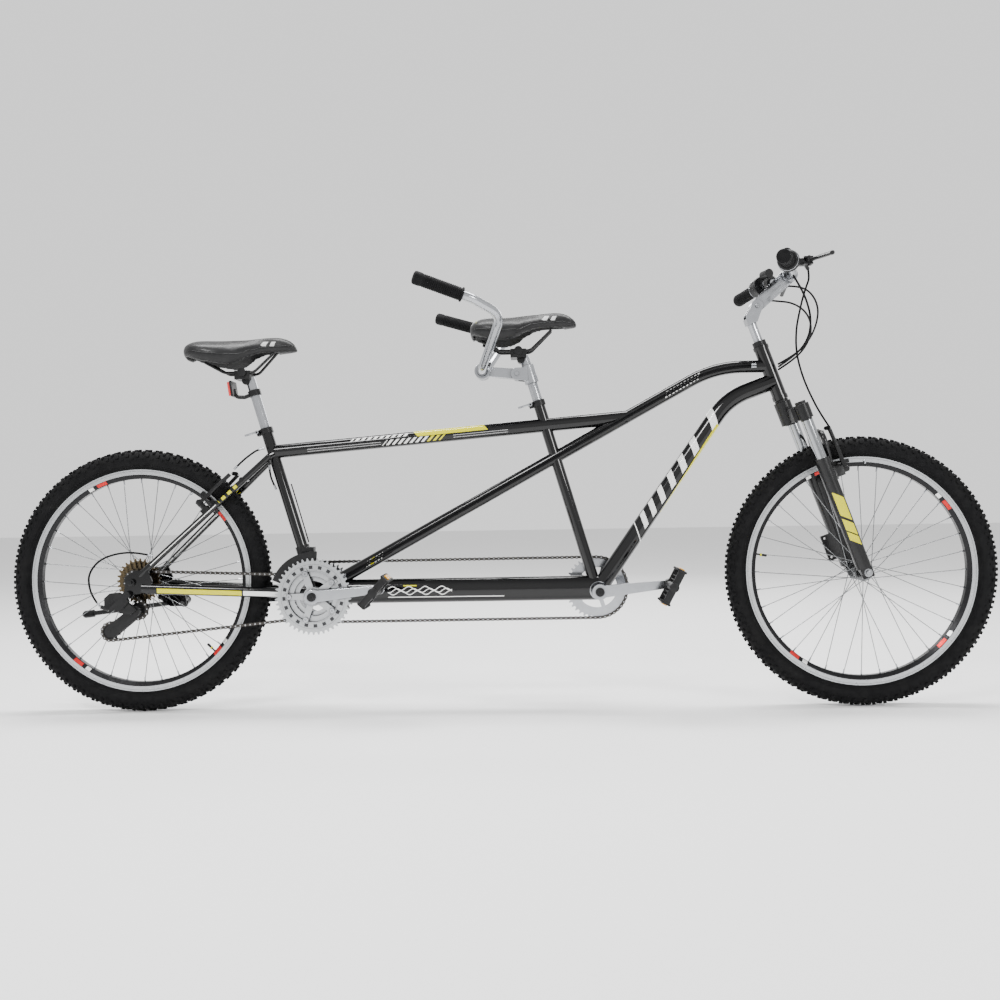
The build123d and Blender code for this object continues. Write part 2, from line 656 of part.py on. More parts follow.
def build_quill():
    """Quill with its expander, and the ears that hold the stem's angle bolt."""
    base_low = fork_point(STEER_F, 0, HEAD_BOTTOM_U + 30)
    base_high = fork_point(STEER_F, 0, 690)
    quill = rod(base_low, base_high, QUILL_D / 2)
    neck = cone(fork_point(STEER_F, 0, HEAD_TOP_U + 60), fork_point(STEER_F, 0, 690), QUILL_D / 2, 13)
    x, _, z = STEM_PIVOT
    ears = [disc(x, z, y, y + 5, 15) for y in (-17.3, 12.3)]
    back = fork_point(STEER_F - 10, 0, 700)
    foot = fork_point(STEER_F + 12, 0, 676)
    webs = [plate([(x - 6, z + 14), (back[0], back[2]), (back[0] + 4, back[2] - 20), (foot[0], foot[2]),
                   (x + 12, z - 8)], y, y + 5) for y in (-17.3, 12.3)]
    heel = block(26, 34.6, 16, fork_plane(STEER_F, 0, 684))
    bolt = disc(x, z, -20, 20, 5)
    body = joined([quill, neck, *ears, *webs, heel]) - disc(x, z, -12.3, 12.3, 16.5)
    save("quill_stem", (body + bolt).solid())


STEM_PIVOT = (666.0, 0.0, 1006.0)
BAR_AT = (748.0, 0.0, 1082.0)
BAR_HALF = [(748, 46, 1082), (722, 120, 1090), (675, 256, 1072)]
GRIP_LENGTH = 90.0
SHIFTER_LENGTH = 34.0


def build_stem_and_bar():
    x, _, z = STEM_PIVOT
    bx, _, bz = BAR_AT
    arm = plate([(x - 10, z + 11), (bx - 13, bz + 14), (bx + 13, bz - 14), (x + 11, z - 11)], -12, 12)
    clamp = disc(bx, bz, -21, 21, 19)
    body = joined([disc(x, z, -12, 12, 15), arm, clamp])
    body = body - disc(bx, bz, -21, 21, BAR_CENTRE_D / 2) - disc(x, z, -13, 13, 5 + RUNNING_GAP)
    save("stem_extension", body.solid())
    bulge = disc(bx, bz, -34, 34, BAR_CENTRE_D / 2)
    bar = bar_tube(BAR_HALF, [60, 100], BAR_D / 2, 2)
    save("handlebar", joined([bar - bulge, bulge - disc(bx, bz, -34, 34, BAR_D / 2 - 2)]).solid())
    save("grips", apart(grip_solids(BAR_HALF, GRIP_LENGTH, GRIP_D / 2, BAR_D / 2)))


def shifter_frame(side):
    """Origin and axis of a twist shifter, just inboard of the grip."""
    last, along = end_of(BAR_HALF)
    start = last - along * (GRIP_LENGTH + BODY_GAP)
    inner = start - along * SHIFTER_LENGTH
    return Vector(start.X, side * start.Y, start.Z), Vector(inner.X, side * inner.Y, inner.Z)


def build_shifters():
    """Twist shifters: ribbed barrels that turn on the bar."""
    for name, side in (("right", -1), ("left", 1)):
        outer, inner = shifter_frame(side)
        barrel = sleeve(outer, inner, SHIFTER_D / 2, BAR_D / 2 + RUNNING_GAP)
        save(f"twist_shifter_{name}", barrel.solid())


LEVER_PIVOT = (767.0, 126.0, 1091.0)
LEVER_TIP = (789.0, 238.0, 1082.0)


def build_brake_levers():
    """Clamped lever mounts, and the blades that pivot on their pins."""
    bar_space = tube_along(both_halves(BAR_HALF), [100, 60, 60, 100], Circle(BAR_D / 2))
    px, py, pz = LEVER_PIVOT
    mounts = []
    for name, side in (("right", -1), ("left", 1)):
        clamp = rod((730.5, side * 96, 1087.4), (725, side * 112, 1089.2), 16)
        reach = Pos(747, side * 114, 1089.5) * Box(34, 18, 16)
        cheeks = [Pos(px - 3, side * (py - 5), pz + dz) * Box(22, 24, 4) for dz in (-7.4, 7.4)]
        barrel = rod((760, side * 110, 1088), (771, side * 98, 1077), 4.5)
        neck = rod((727, side * 105, 1092), (722, side * 112, 1112), 7)
        pod = rod((724, side * 98, 1112), (714, side * 126, 1111), 12)
        pin = rod((px, side * py, pz - 12), (px, side * py, pz + 12), 3)
        lever_space = rod((px, side * py, pz - 5.4), (px, side * py, pz + 5.4), 13)
        mounts.append(joined([clamp, reach, *cheeks, barrel, neck, pod]) - bar_space - lever_space + pin)
        hub = rod((px, side * py, pz - 5), (px, side * py, pz + 5), 8.5)
        knee = Vector(px + 14, side * (py + 28), pz + 1)
        tip = Vector(LEVER_TIP[0], side * LEVER_TIP[1], LEVER_TIP[2])
        blade = rod((px + 2, side * (py + 4), pz), knee, 4.5)
        finger = rod(knee, tip, 5)
        ends = Pos(*knee) * Sphere(5) + Pos(*tip) * Sphere(5.5)
        bore = rod((px, side * py, pz - 14), (px, side * py, pz + 14), 3 + RUNNING_GAP)
        save(f"brake_lever_{name}", (joined([hub, blade, finger, ends]) - bore).solid())
    save("lever_mounts", apart(mounts))
    return joined(mounts)


def build_fork_lowers():
    """Lower legs with their arch, brake studs, disc tab and dropouts."""
    out = BRAKE_OUT["front"]
    legs = []
    for side in (-1, 1):
        y = side * FORK_SPREAD
        leg = rod(fork_point(0, y, 15), fork_point(0, y, LOWER_TOP_U), LOWER_LEG_D / 2)
        seal = rod(fork_point(0, y, LOWER_TOP_U - 12), fork_point(0, y, LOWER_TOP_U), LOWER_LEG_D / 2 + 1.5)
        tab = block(30, 8, 44, fork_plane(AXLE_FORWARD, side * 54, 8))
        foot = rod(fork_point(2, side * 50.3, 8), fork_point(2, side * 70, 8), 14)
        boss_plane = fork_plane((out + 8) / 2 - BODY_GAP, side * (BRAKE_STUD_Y + 4), BRAKE_STUD_ALONG)
        boss = block(out - 2 * BODY_GAP - 8, 14, 24, boss_plane)
        shoulder = block(24, 24, 30, fork_plane(10, side * 54, BRAKE_STUD_ALONG))
        stud = rod(fork_point(out - 6, side * BRAKE_STUD_Y, BRAKE_STUD_ALONG),
                   fork_point(out + 16, side * BRAKE_STUD_Y, BRAKE_STUD_ALONG), STUD_D / 2)
        legs.append(joined([leg, seal, tab, foot, boss, shoulder, stud]))
    disc_tab = block(38, 7, 68, fork_plane(-25, FORK_SPREAD - 12, 74))
    for up in (-CALIPER_HOLES / 2, CALIPER_HOLES / 2):
        hole_at = fork_point(-35, 0, 74 + up)
        disc_tab = disc_tab - disc(hole_at[0], hole_at[2], 40, 70, CALIPER_HOLE_D / 2)
    half_arch = [
        fork_point(16, FORK_SPREAD, LOWER_TOP_U - 18), fork_point(25, FORK_SPREAD - 4, FORK_ARCH_UP - 10),
        fork_point(26, 26, FORK_ARCH_UP),
    ]
    arch = tube_along(both_halves(list(reversed(half_arch))), [24, 24, 24, 24], Circle(7))
    body = joined([*legs, arch, disc_tab])
    for side in (-1, 1):
        y = side * FORK_SPREAD
        bore_radius = STANCHION_D / 2 + RUNNING_GAP
        body = body - rod(fork_point(0, y, 60), fork_point(0, y, LOWER_TOP_U), bore_radius)
        body = body - rod(fork_point(0, y, LOWER_TOP_U), fork_point(0, y, LOWER_TOP_U + 120), 19)
        body = body - disc(FRONT_AXLE_X, TYRE_RADIUS, *sorted((side * 58, side * 90)), 11.5)
    body = body - disc(FRONT_AXLE_X, TYRE_RADIUS, -80, 80, AXLE_D / 2)
    save("fork_lowers", body.solid())


# ---------------------------------------------------------------- wheels

HUB_SIZES = {
    # flange positions along Y, flange radius, shell radius
    "front": ((-28.0, 28.0), 24.0, 15.0),
    "rear": ((-18.0, 33.0), 26.0, 19.0),
}


def revolved(profile, axle_x):
    """Turns a closed (radius, y) profile about a wheel's axle."""
    centre = Axis((axle_x, 0, TYRE_RADIUS), (0, 1, 0))
    return revolve(profile, axis=centre, revolution_arc=360)


def wheel_edge(axle_x, points):
    return [(axle_x + radius, y, TYRE_RADIUS) for radius, y in points]


def build_tyre(name, axle_x):
    """Casing with a flat-footed tread, open towards the rim."""
    half = TYRE_WIDTH / 2
    flat = TREAD_FLAT / 2
    outer = [(274, 11.5), (286.5, 11.5), (297, 22.0), (311, half), (329, 22.0), (TYRE_RADIUS, flat)]
    inner = [(274, 8.5), (287.5, 8.0), (298, 17.5), (311, 22.5), (325, 18.5), (332.5, 10)]

    def side(sign):
        o = wheel_edge(axle_x, [(r, sign * y) for r, y in outer])
        i = wheel_edge(axle_x, [(r, sign * y) for r, y in inner])
        edges = [Line(o[0], o[1]), ThreePointArc(o[1], o[2], o[3]), ThreePointArc(o[3], o[4], o[5])]
        edges += [Line(i[0], i[1]), ThreePointArc(i[1], i[2], i[3]), ThreePointArc(i[3], i[4], i[5])]
        edges.append(Line(o[0], i[0]))
        return edges, o[5], i[5]

    right, o_right, i_right = side(-1)
    left, o_left, i_left = side(1)
    edges = right + left + [Line(o_right, o_left), Line(i_right, i_left)]
    save(f"{name}_tyre", revolved(make_face(edges), axle_x))


def build_rim(name, axle_x):
    half = RIM_WIDTH / 2
    points = [
        (RIM_INNER, -7), (RIM_INNER, 7), (270, half), (RIM_OUTER, half), (RIM_OUTER, 11.5), (271.5, 11.5),
        (266, 6), (266, -6), (271.5, -11.5), (RIM_OUTER, -11.5), (RIM_OUTER, -half), (270, -half),
    ]
    face = make_face(Polyline(*wheel_edge(axle_x, points), close=True))
    save(f"{name}_rim", revolved(face, axle_x))


def build_hub(name, axle_x):
    """Hub shell with its flanges and crossed spokes."""
    flanges, flange_radius, shell_radius = HUB_SIZES[name]
    low, high = flanges
    shell = disc(axle_x, TYRE_RADIUS, low - 2.5, high + 2.5, shell_radius)
    rims = [disc(axle_x, TYRE_RADIUS, y - 1.5, y + 1.5, flange_radius) for y in flanges]
    shapes = [shell, *rims]
    per_side = SPOKE_COUNT // 2
    cross = radians(360 / per_side * 3)
    for side, flange_y in enumerate(flanges):
        for index in range(per_side):
            rim_angle = 2 * pi * (index + side * 0.5) / per_side
            lead = 1 if index % 2 else -1
            hub_angle = rim_angle + lead * cross
            hub_y = flange_y + lead * 1.6
            start = wheel_point(axle_x, flange_radius - 4, hub_angle, hub_y)
            rim_y = 1.5 if flange_y > 0 else -1.5
            end = wheel_point(axle_x, RIM_INNER - 1.0, rim_angle, rim_y)
            shapes.append(rod(start, end, SPOKE_D / 2))
    hub = joined(shapes) - disc(axle_x, TYRE_RADIUS, -80, 80, AXLE_D / 2 + RUNNING_GAP)
    save(f"{name}_hub_spokes", apart([hub]))


def wheel_point(axle_x, radius, angle, y):
    return (axle_x + radius * cos(angle), y, TYRE_RADIUS + radius * sin(angle))


def build_front_axle():
    """Front axle with its cones and nuts."""
    front = disc(FRONT_AXLE_X, TYRE_RADIUS, -70, 70, AXLE_D / 2)
    cones = [disc(FRONT_AXLE_X, TYRE_RADIUS, *span, 8) for span in ((-50, -31), (31, 50))]
    nuts = [disc(FRONT_AXLE_X, TYRE_RADIUS, *span, 10.5) for span in ((-66, -58), (58, 66))]
    save("front_axle", joined([front, *cones, *nuts]).solid())


def rear_axle():
    """Rear axle with its spacers and nuts."""
    rear = disc(REAR_AXLE_X, TYRE_RADIUS, -86, 83, AXLE_D / 2)
    cone_spans = ((-DROPOUT_INNER, -52), (36.5, DROPOUT_INNER))
    cones = [disc(REAR_AXLE_X, TYRE_RADIUS, *span, 8) for span in cone_spans]
    outer = DROPOUT_INNER + DROPOUT_THICKNESS
    nut_spans = ((-outer - 8, -outer), (outer, outer + 7))
    nuts = [disc(REAR_AXLE_X, TYRE_RADIUS, *span, 9.5) for span in nut_spans]
    return joined([rear, *cones, *nuts]).solid()


# ---------------------------------------------------------------- brakes


PAD_RADIUS = 277.0
FRAMES = {"front": (fork_point, fork_plane), "rear": (stay_point, stay_plane)}


def brake_arm(where, side):
    """V-brake arm on its stud, with the pad held against the rim's side."""
    point, plane = FRAMES[where]
    out = BRAKE_OUT[where]
    y = side * BRAKE_STUD_Y
    hub = rod(point(out, y, BRAKE_STUD_ALONG), point(out + 13, y, BRAKE_STUD_ALONG), 8)
    lower = block(9, 8, 66, plane(out + 6, side * (BRAKE_STUD_Y + 1), BRAKE_STUD_ALONG + 33))
    upper = rod(point(out + 6, side * (BRAKE_STUD_Y + 1), BRAKE_STUD_ALONG + 60),
                point(out + 6, side * (BRAKE_STUD_Y - 5), BRAKE_STUD_ALONG + 106), 5)
    axle_shift = AXLE_FORWARD if where == "front" else 0.0
    pad_out = out - 2
    lean = asin((pad_out - axle_shift) / PAD_RADIUS)
    pad_up = PAD_RADIUS * cos(lean)
    holder = rod(point(out + 6, side * 40, pad_up + 1), point(pad_out, side * 21, pad_up), 4)
    pad = block(58, 8, 10, plane(pad_out, side * 19, pad_up) * Rot(0, degrees(lean), 0))
    arm = joined([hub, lower, upper, holder, pad])
    bore_low = point(out - 8, y, BRAKE_STUD_ALONG)
    bore_high = point(out + 20, y, BRAKE_STUD_ALONG)
    return arm - rod(bore_low, bore_high, STUD_D / 2 + RUNNING_GAP)


def build_brakes():
    for where in FRAMES:
        for name, side in (("right", -1), ("left", 1)):
            save(f"{where}_brake_arm_{name}", brake_arm(where, side).solid())


# ---------------------------------------------------------------- drivetrain


def pitch_radius(teeth):
    return CHAIN_PITCH / 2 / sin(pi / teeth)


def sprocket(x, z, teeth, y, thickness, bore):
    """Toothed disc: a root circle with one pointed tooth for each pitch."""
    radius = pitch_radius(teeth)
    root = radius - 3.6
    tip = radius + 3.4
    points = []
    for index in range(teeth):
        middle = 2 * pi * (index + 0.5) / teeth
        for offset, reach in ((-0.30, root), (-0.10, tip), (0.10, tip), (0.30, root)):
            angle = middle + offset * 2 * pi / teeth
            points.append((x + reach * cos(angle), z + reach * sin(angle)))
    gear = plate(points, y - thickness / 2, y + thickness / 2)
    return gear - disc(x, z, y - 5, y + 5, bore)


def tangent_loop(circles, offset, y):
    """Closed loop of tangent lines and arcs round circles (x, z, radius, sense), moved out by offset."""
    count = len(circles)
    ends = []
    for index in range(count):
        x1, z1, r1, s1 = circles[index]
        x2, z2, r2, s2 = circles[(index + 1) % count]
        a = s1 * r1 + offset
        b = s2 * r2 + offset
        dx = x2 - x1
        dz = z2 - z1
        distance = sqrt(dx * dx + dz * dz)
        heading = atan2(dz, dx) - asin((b - a) / distance)
        normal = (sin(heading), -cos(heading))
        start = (x1 + a * normal[0], y, z1 + a * normal[1])
        end = (x2 + b * normal[0], y, z2 + b * normal[1])
        ends.append((start, end, heading))
    edges = []
    for index in range(count):
        start, end, heading = ends[index]
        edges.append(Line(start, end))
        next_start, _, next_heading = ends[(index + 1) % count]
        x, z, radius, sense = circles[(index + 1) % count]
        sweep_angle = (next_heading - heading) % (2 * pi)
        if sense < 0:
            sweep_angle -= 2 * pi
        reach = sense * radius + offset
        middle = heading + sweep_angle / 2
        via = (x + reach * sin(middle), y, z - reach * cos(middle))
        edges.append(ThreePointArc(end, via, next_start))
    return edges, ends


CHAIN_HEIGHT = 7.6
CHAIN_INNER = 2.5
CHAIN_OUTER = 3.5
ROLLER_D = 7.0


def chain(circles, y, free_runs):
    """Two side-plate bands that flank the teeth, with rollers along the free runs."""
    bands = []
    for side in (-1, 1):
        low, high = sorted((side * CHAIN_INNER, side * CHAIN_OUTER))
        outer, _ = tangent_loop(circles, CHAIN_HEIGHT / 2, y + low)
        inner, _ = tangent_loop(circles, -CHAIN_HEIGHT / 2, y + low)
        face = make_face(outer) - make_face(inner)
        bands.append(extrude(face, amount=high - low, dir=(0, 1, 0)))
    _, ends = tangent_loop(circles, 0, y)
    rollers = []
    for run in free_runs:
        start = Vector(*ends[run][0])
        end = Vector(*ends[run][1])
        length = (end - start).length
        along = (end - start).normalized()
        count = int((length - 84) / CHAIN_PITCH)
        for index in range(count + 1):
            at = start + along * (42 + index * CHAIN_PITCH)
            rollers.append(disc(at.X, at.Z, y - CHAIN_INNER, y + CHAIN_INNER, ROLLER_D / 2))
    return apart([bands[0].fuse(bands[1], *rollers)])


def drive_circles():
    return [
        (STOKER_BB[0], STOKER_BB[1], pitch_radius(RING_TEETH[2]), 1),
        (REAR_AXLE_X, TYRE_RADIUS, pitch_radius(COG_TEETH[0]), 1),
        (*GUIDE_PULLEY, pitch_radius(PULLEY_TEETH), -1),
        (*TENSION_PULLEY, pitch_radius(PULLEY_TEETH), 1),
    ]


def timing_circles():
    radius = pitch_radius(TIMING_TEETH)
    return [(CAPTAIN_BB[0], CAPTAIN_BB[1], radius, 1), (STOKER_BB[0], STOKER_BB[1], radius, 1)]


def build_chains():
    save("drive_chain", chain(drive_circles(), RING_Y[2], (0, 3)))
    save("timing_chain", chain(timing_circles(), TIMING_Y, (0, 1)))


ARM_INNER_Y = 67.0
ARM_OUTER_Y = 81.0


def crank_set(bb):
    """Spindle with a crank arm each side, the right one pointing forward."""
    x, z = bb
    spindle = disc(x, z, -ARM_INNER_Y, ARM_INNER_Y, SPINDLE_D / 2)
    arms = []
    for side, flip in ((-1, 0), (1, 180)):
        low, high = sorted((side * ARM_INNER_Y, side * ARM_OUTER_Y))
        boss = disc(x, z, low, high, 19)
        eye = disc(x + CRANK_LENGTH, z, low, high, 13)
        end_x = x + CRANK_LENGTH
        web = plate([(x, z + 15), (end_x, z + 9.5), (end_x, z - 9.5), (x, z - 15)], low, high)
        arm = boss + eye + web - disc(x + CRANK_LENGTH, z, low - 1, high + 1, 6 + RUNNING_GAP)
        arms.append(turn_y(arm, x, z, CRANK_ANGLE + flip))
    return joined([spindle, *arms])


def timing_ring(bb):
    """Left ring on five spider arms, bolted to the spindle's left end."""
    x, z = bb
    ring = sprocket(x, z, TIMING_TEETH, TIMING_Y, 2.2, 52)
    hub = disc(x, z, TIMING_Y - 1.1, ARM_INNER_Y, 17)
    arm_outline = [(x, z - 6), (x + 56, z - 5), (x + 56, z + 5), (x, z + 6)]
    arm = plate(arm_outline, TIMING_Y - 1.1, TIMING_Y + 3)
    arms = [turn_y(arm, x, z, 72 * index) for index in range(5)]
    return joined([ring, hub, *arms])


def spider_arms(bb):
    """Five arms outside the largest ring, each with a bolt to the middle ring and one to the small ring."""
    x, z = bb
    outside = RING_Y[0] - 3.8
    outline = [(x, z - 9), (x + 72, z - 7), (x + 72, z + 7), (x, z + 9)]
    arm = plate(outline, outside, RING_Y[0] - 1.1)
    bolt = disc(x + 60, z, outside, RING_Y[1] + 1.1, 5)
    inner_bolt = disc(x + 43, z, outside, RING_Y[2] + 1.1, 4)
    solids = []
    for index in range(5):
        for piece in (arm, bolt, inner_bolt):
            solids.append(turn_y(piece, x, z, 36 + 72 * index))
    return solids


def build_cranks():
    for rider, bb in BB_BY_RIDER.items():
        cranks = crank_set(bb)
        ring = timing_ring(bb) - disc(bb[0], bb[1], 0, ARM_INNER_Y, SPINDLE_D / 2)
        if rider == "captain":
            save("captain_crankset", apart([cranks, ring]))
        else:
            save("stoker_crankset", apart([cranks]))
            rings = []
            for teeth, y, bore in zip(RING_TEETH, RING_Y, (64, 50, 38)):
                rings.append(sprocket(bb[0], bb[1], teeth, y, 2.2, bore))
            spider = disc(bb[0], bb[1], -ARM_INNER_Y, RING_Y[2] - 1.1, 24)
            body = joined([spider, *rings, *spider_arms(bb)])
            body = body - disc(bb[0], bb[1], -90, 0, SPINDLE_D / 2)
            save("chainrings", apart([body, ring]))


def build_freewheel():
    """Six cogs on one body that turns on the rear axle."""
    cogs = []
    for index, teeth in enumerate(COG_TEETH):
        y = COG_FIRST_Y + index * COG_PITCH
        cogs.append(sprocket(REAR_AXLE_X, TYRE_RADIUS, teeth, y, 1.8, 12))
    low = COG_FIRST_Y - 2
    high = COG_FIRST_Y + 5 * COG_PITCH + 2.5
    body = disc(REAR_AXLE_X, TYRE_RADIUS, low, high, 20)
    bore = disc(REAR_AXLE_X, TYRE_RADIUS, low - 1, high + 1, AXLE_D / 2 + RUNNING_GAP)
    body = joined([body, *cogs]) - bore
    save("freewheel", body.solid())


def build_pulleys():
    for name, (x, z) in (("guide_pulley", GUIDE_PULLEY), ("tension_pulley", TENSION_PULLEY)):
        save(name, sprocket(x, z, PULLEY_TEETH, RING_Y[2], 2.2, 3 + RUNNING_GAP).solid())


def build_rear_derailleur():
    """Body on the hanger, the linkage cover, the cage's two plates and the pulley bolts."""
    gx, gz = GUIDE_PULLEY
    tx, tz = TENSION_PULLEY
    y = RING_Y[2]
    outline = [(gx - 4, gz + 16), (gx + 14, gz + 8), (gx + 12, gz - 10), (tx + 12, tz - 14), (tx - 6, tz - 14),
               (tx - 14, tz - 2), (tx - 10, tz + 12)]
    cages = [plate(outline, low, low + 2) for low in (y - 7.5, y + 5.5)]
    bolts = [disc(x, z, y - 8.5, y + 8.5, 3) for x, z in (GUIDE_PULLEY, TENSION_PULLEY)]
    knuckle = disc(gx, gz, -76, y - 7.5, 13)
    cover = plate([(-980, 300), (-966, 312), (-944, 314), (-926, 306), (-918, 290), (-934, 272), (-966, 268),
                   (-980, 280)], -86, -76)
    hanger_bolt = disc(-924, 308, -86, DROPOUT_INNER * -1 - DROPOUT_THICKNESS, 9)
    link = plate([(-952, 290), (-934, 298), (gx + 8, gz + 4), (gx - 8, gz - 8), (-944, 262)], -82, -72)
    barrel = rod((-970, -81, 272), (-989, -84.5, 279), 5)
    hanger = plate(HANGER, -DROPOUT_INNER - DROPOUT_THICKNESS, -DROPOUT_INNER)
    body = joined([*cages, *bolts, knuckle, cover, hanger_bolt, link, barrel]) - hanger
    save("rear_derailleur", apart([s for s in body.solids() if s.volume > 400]))


def build_front_derailleur():
    """Band clamp on the rear seat tube, and a curved cage that follows the largest ring."""
    z = 412.0
    low = seat_line(STOKER_BB, z - 9)
    high = seat_line(STOKER_BB, z + 9)
    at = seat_line(STOKER_BB, z)
    inner = pitch_radius(RING_TEETH[0]) - 7
    outer = inner + 26
    bx, bz = STOKER_BB
    band = rod(low, high, SEAT_TUBE_D / 2 + 3.5)
    arm = rod((at[0] + 10, 0, z), (at[0] + 14, -43, z - 6), 8)
    knuckle = Pos(at[0] + 22, -30, z - 4) * Box(30, 22, 22)
    arc = disc(bx, bz, -60, -40, outer) - disc(bx, bz, -60, -40, inner)
    wedge = plate([(bx, bz), (bx + 10, bz + 160), (bx - 160, bz + 160), (bx - 160, bz + 64)], -60, -40)
    sides = [Pos(0, y, 0) * Box(4000, 1.6, 4000) for y in (-57.2, -41.6)]
    cage = arc & wedge & joined(sides)
    roof = (disc(bx, bz, -58, -41, outer) - disc(bx, bz, -58, -41, outer - 2))
    roof = roof & plate([(bx, bz), (bx - 6, bz + 160), (bx - 70, bz + 160)], -58, -41)
    body = joined([band, arm, knuckle, cage, roof]) - rod(low, high, SEAT_TUBE_D / 2)
    body = body - rod(seat_line(STOKER_BB, 330), seat_line(STOKER_BB, 460), SEAT_TUBE_D / 2)
    save("front_derailleur", apart([s for s in body.solids() if s.volume > 200]))


# ---------------------------------------------------------------- pedals


def build_pedals():
    """Caged resin pedals on their own axles, screwed through the crank eyes."""
    for rider, bb in BB_BY_RIDER.items():
        for name, side, tilt in (("right", -1, 62), ("left", 1, 8)):
            angle = radians(CRANK_ANGLE)
            x = bb[0] - side * CRANK_LENGTH * cos(angle)
            z = bb[1] - side * CRANK_LENGTH * sin(angle)
            start = side * (ARM_INNER_Y + 1)
            axle = disc(x, z, *sorted((start, side * 178)), 6)
            boss = disc(x, z, *sorted((side * (ARM_OUTER_Y + 3), side * 180)), 12)
            rails = [Pos(x + dx, side * 134, z) * Box(8, 88, 24) for dx in (-42, 42)]
            ends = [Pos(x, side * dy, z) * Box(92, 7, 20) for dy in (94, 174)]
            body = joined([boss, *rails, *ends])
            pedal = turn_y(body, x, z, tilt if rider == "captain" or side > 0 else 48)
            save(f"{rider}_pedal_{name}", (pedal + axle).solid())


# ---------------------------------------------------------------- cables

# Each route is a list of points that its housing passes near, from end to end.
LOOPS = {
    "front_brake": [
        (771.5, -97.5, 1076.5), (776, -92, 1056), (771, -84, 1040), (764, -70, 1010), (757.5, -58, 972),
        (753.8, -45, 938), (755.4, -36, 883), (772, -33, 821), (795, -33, 767), (817, -32, 726), (838, -28, 696),
    ],
    "right_shift": [
        (722, -150, 1052), (742, -138, 1026), (764, -112, 996), (781, -84, 958), (781, -60, 916),
        (757, -38, 879), (714, -23, 851),
    ],
    "left_brake": [
        (771.5, 97.5, 1076.5), (800, 82, 1072), (824, 70, 1052), (836, 54, 1016), (830, 38, 976),
        (808, 18, 930), (768, -6, 886), (714, -23, 858),
    ],
    "left_shift": [
        (722, 150, 1052), (750, 138, 1046), (786, 112, 1036), (812, 78, 1006), (818, 46, 962),
        (798, 12, 914), (760, -16, 872), (714, -23, 844),
    ],
}
SIDE_Y = -20.8


def lateral_side(z_shift):
    """Housing along the right side of the lateral tube, parallel to its axis."""
    rise = (LATERAL_ROUTE[1][2] - LATERAL_ROUTE[0][2]) / (LATERAL_ROUTE[1][0] - LATERAL_ROUTE[0][0])
    start_x = -392.0
    start_z = LATERAL_ROUTE[0][2] + rise * (start_x - LATERAL_ROUTE[0][0])
    _, _, bend_z = LATERAL_ROUTE[1]
    route = [(start_x, SIDE_Y, start_z + z_shift), (LATERAL_ROUTE[1][0], SIDE_Y, bend_z + z_shift),
             (664, SIDE_Y, bend_z + z_shift)]
    return tube_along(route, LATERAL_BEND, Circle(HOUSING_D / 2))


FRAME_ROUTES = {
    "rear_brake_tail": [(-588, -17, 672), (-604, -17, 669), (-622, -16, 658), (-645, -15, 641), (-667, -15, 620)],
    "rear_loop": [
        (-858, -76, 404), (-896, -80, 414), (-942, -83, 413), (-990, -85, 398), (-1019, -86, 362),
        (-1017, -86, 325), (-1004, -86, 296), (-990.5, -85, 279.5),
    ],
    "seat_tube_rear": [(-578.8, -4, 630), (-577.5, -4, 608), (-571.7, -4, 588), (-561.5, -4, 566)],
    "seat_tube_front": [(-523.5, 0, 580), (-501.8, 0, 506), (-480, -3, 430)],
}


def cable(name, points, diameter):
    """Housing along a hand-set route: runs joined by arcs as large as the two runs allow."""
    radii = []
    for before, corner, after in zip(points, points[1:], points[2:]):
        first = Vector(*corner) - Vector(*before)
        second = Vector(*after) - Vector(*corner)
        turn = radians(first.get_angle(second))
        radii.append(0.45 * min(first.length, second.length) / tan(turn / 2))
    shape = tube_along(points, radii, Circle(diameter / 2))
    length = shape.volume / (pi * (diameter / 2) ** 2)
    print(f"{name}: {length:.0f} mm long, smallest bend radius {min(radii):.0f} mm")
    return shape


def build_cables(frame, lever_mounts):
    """Housings that flex with the bars, and those fixed to the frame."""
    loops = [cable(name, route, HOUSING_D) - lever_mounts - frame["head"] for name, route in LOOPS.items()]
    save("loop_cables", apart(loops))
    fixed = [cable(name, route, HOUSING_D) for name, route in FRAME_ROUTES.items()]
    fixed.extend(lateral_side(shift) for shift in (-3.0, 3.0))
    save("frame_cables", apart(fixed))


# ---------------------------------------------------------------- build

if __name__ == "__main__":
    os.makedirs("parts", exist_ok=True)
    frame = build_frame_tubes()
    build_bottom_brackets()
    build_stays(frame)
    build_kickstand()
    build_collars()
    build_posts()
    build_saddle("stoker")
    build_saddle("captain")
    build_stoker_bar()
    build_fork_crown()
    build_quill()
    build_stem_and_bar()
    build_shifters()
    lever_mounts = build_brake_levers()
    build_fork_lowers()
    for wheel, axle_x in (("front", FRONT_AXLE_X), ("rear", REAR_AXLE_X)):
        build_tyre(wheel, axle_x)
        build_rim(wheel, axle_x)
        build_hub(wheel, axle_x)
    build_front_axle()
    build_brakes()
    build_chains()
    build_cranks()
    build_freewheel()
    build_pulleys()
    build_rear_derailleur()
    build_front_derailleur()
    build_pedals()
    build_cables(frame, lever_mounts)
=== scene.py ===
"""Looks of a two-seat bicycle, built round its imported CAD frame. Lengths are in metres."""
import json
import math

import bmesh
import bpy
from mathutils import Matrix, Vector


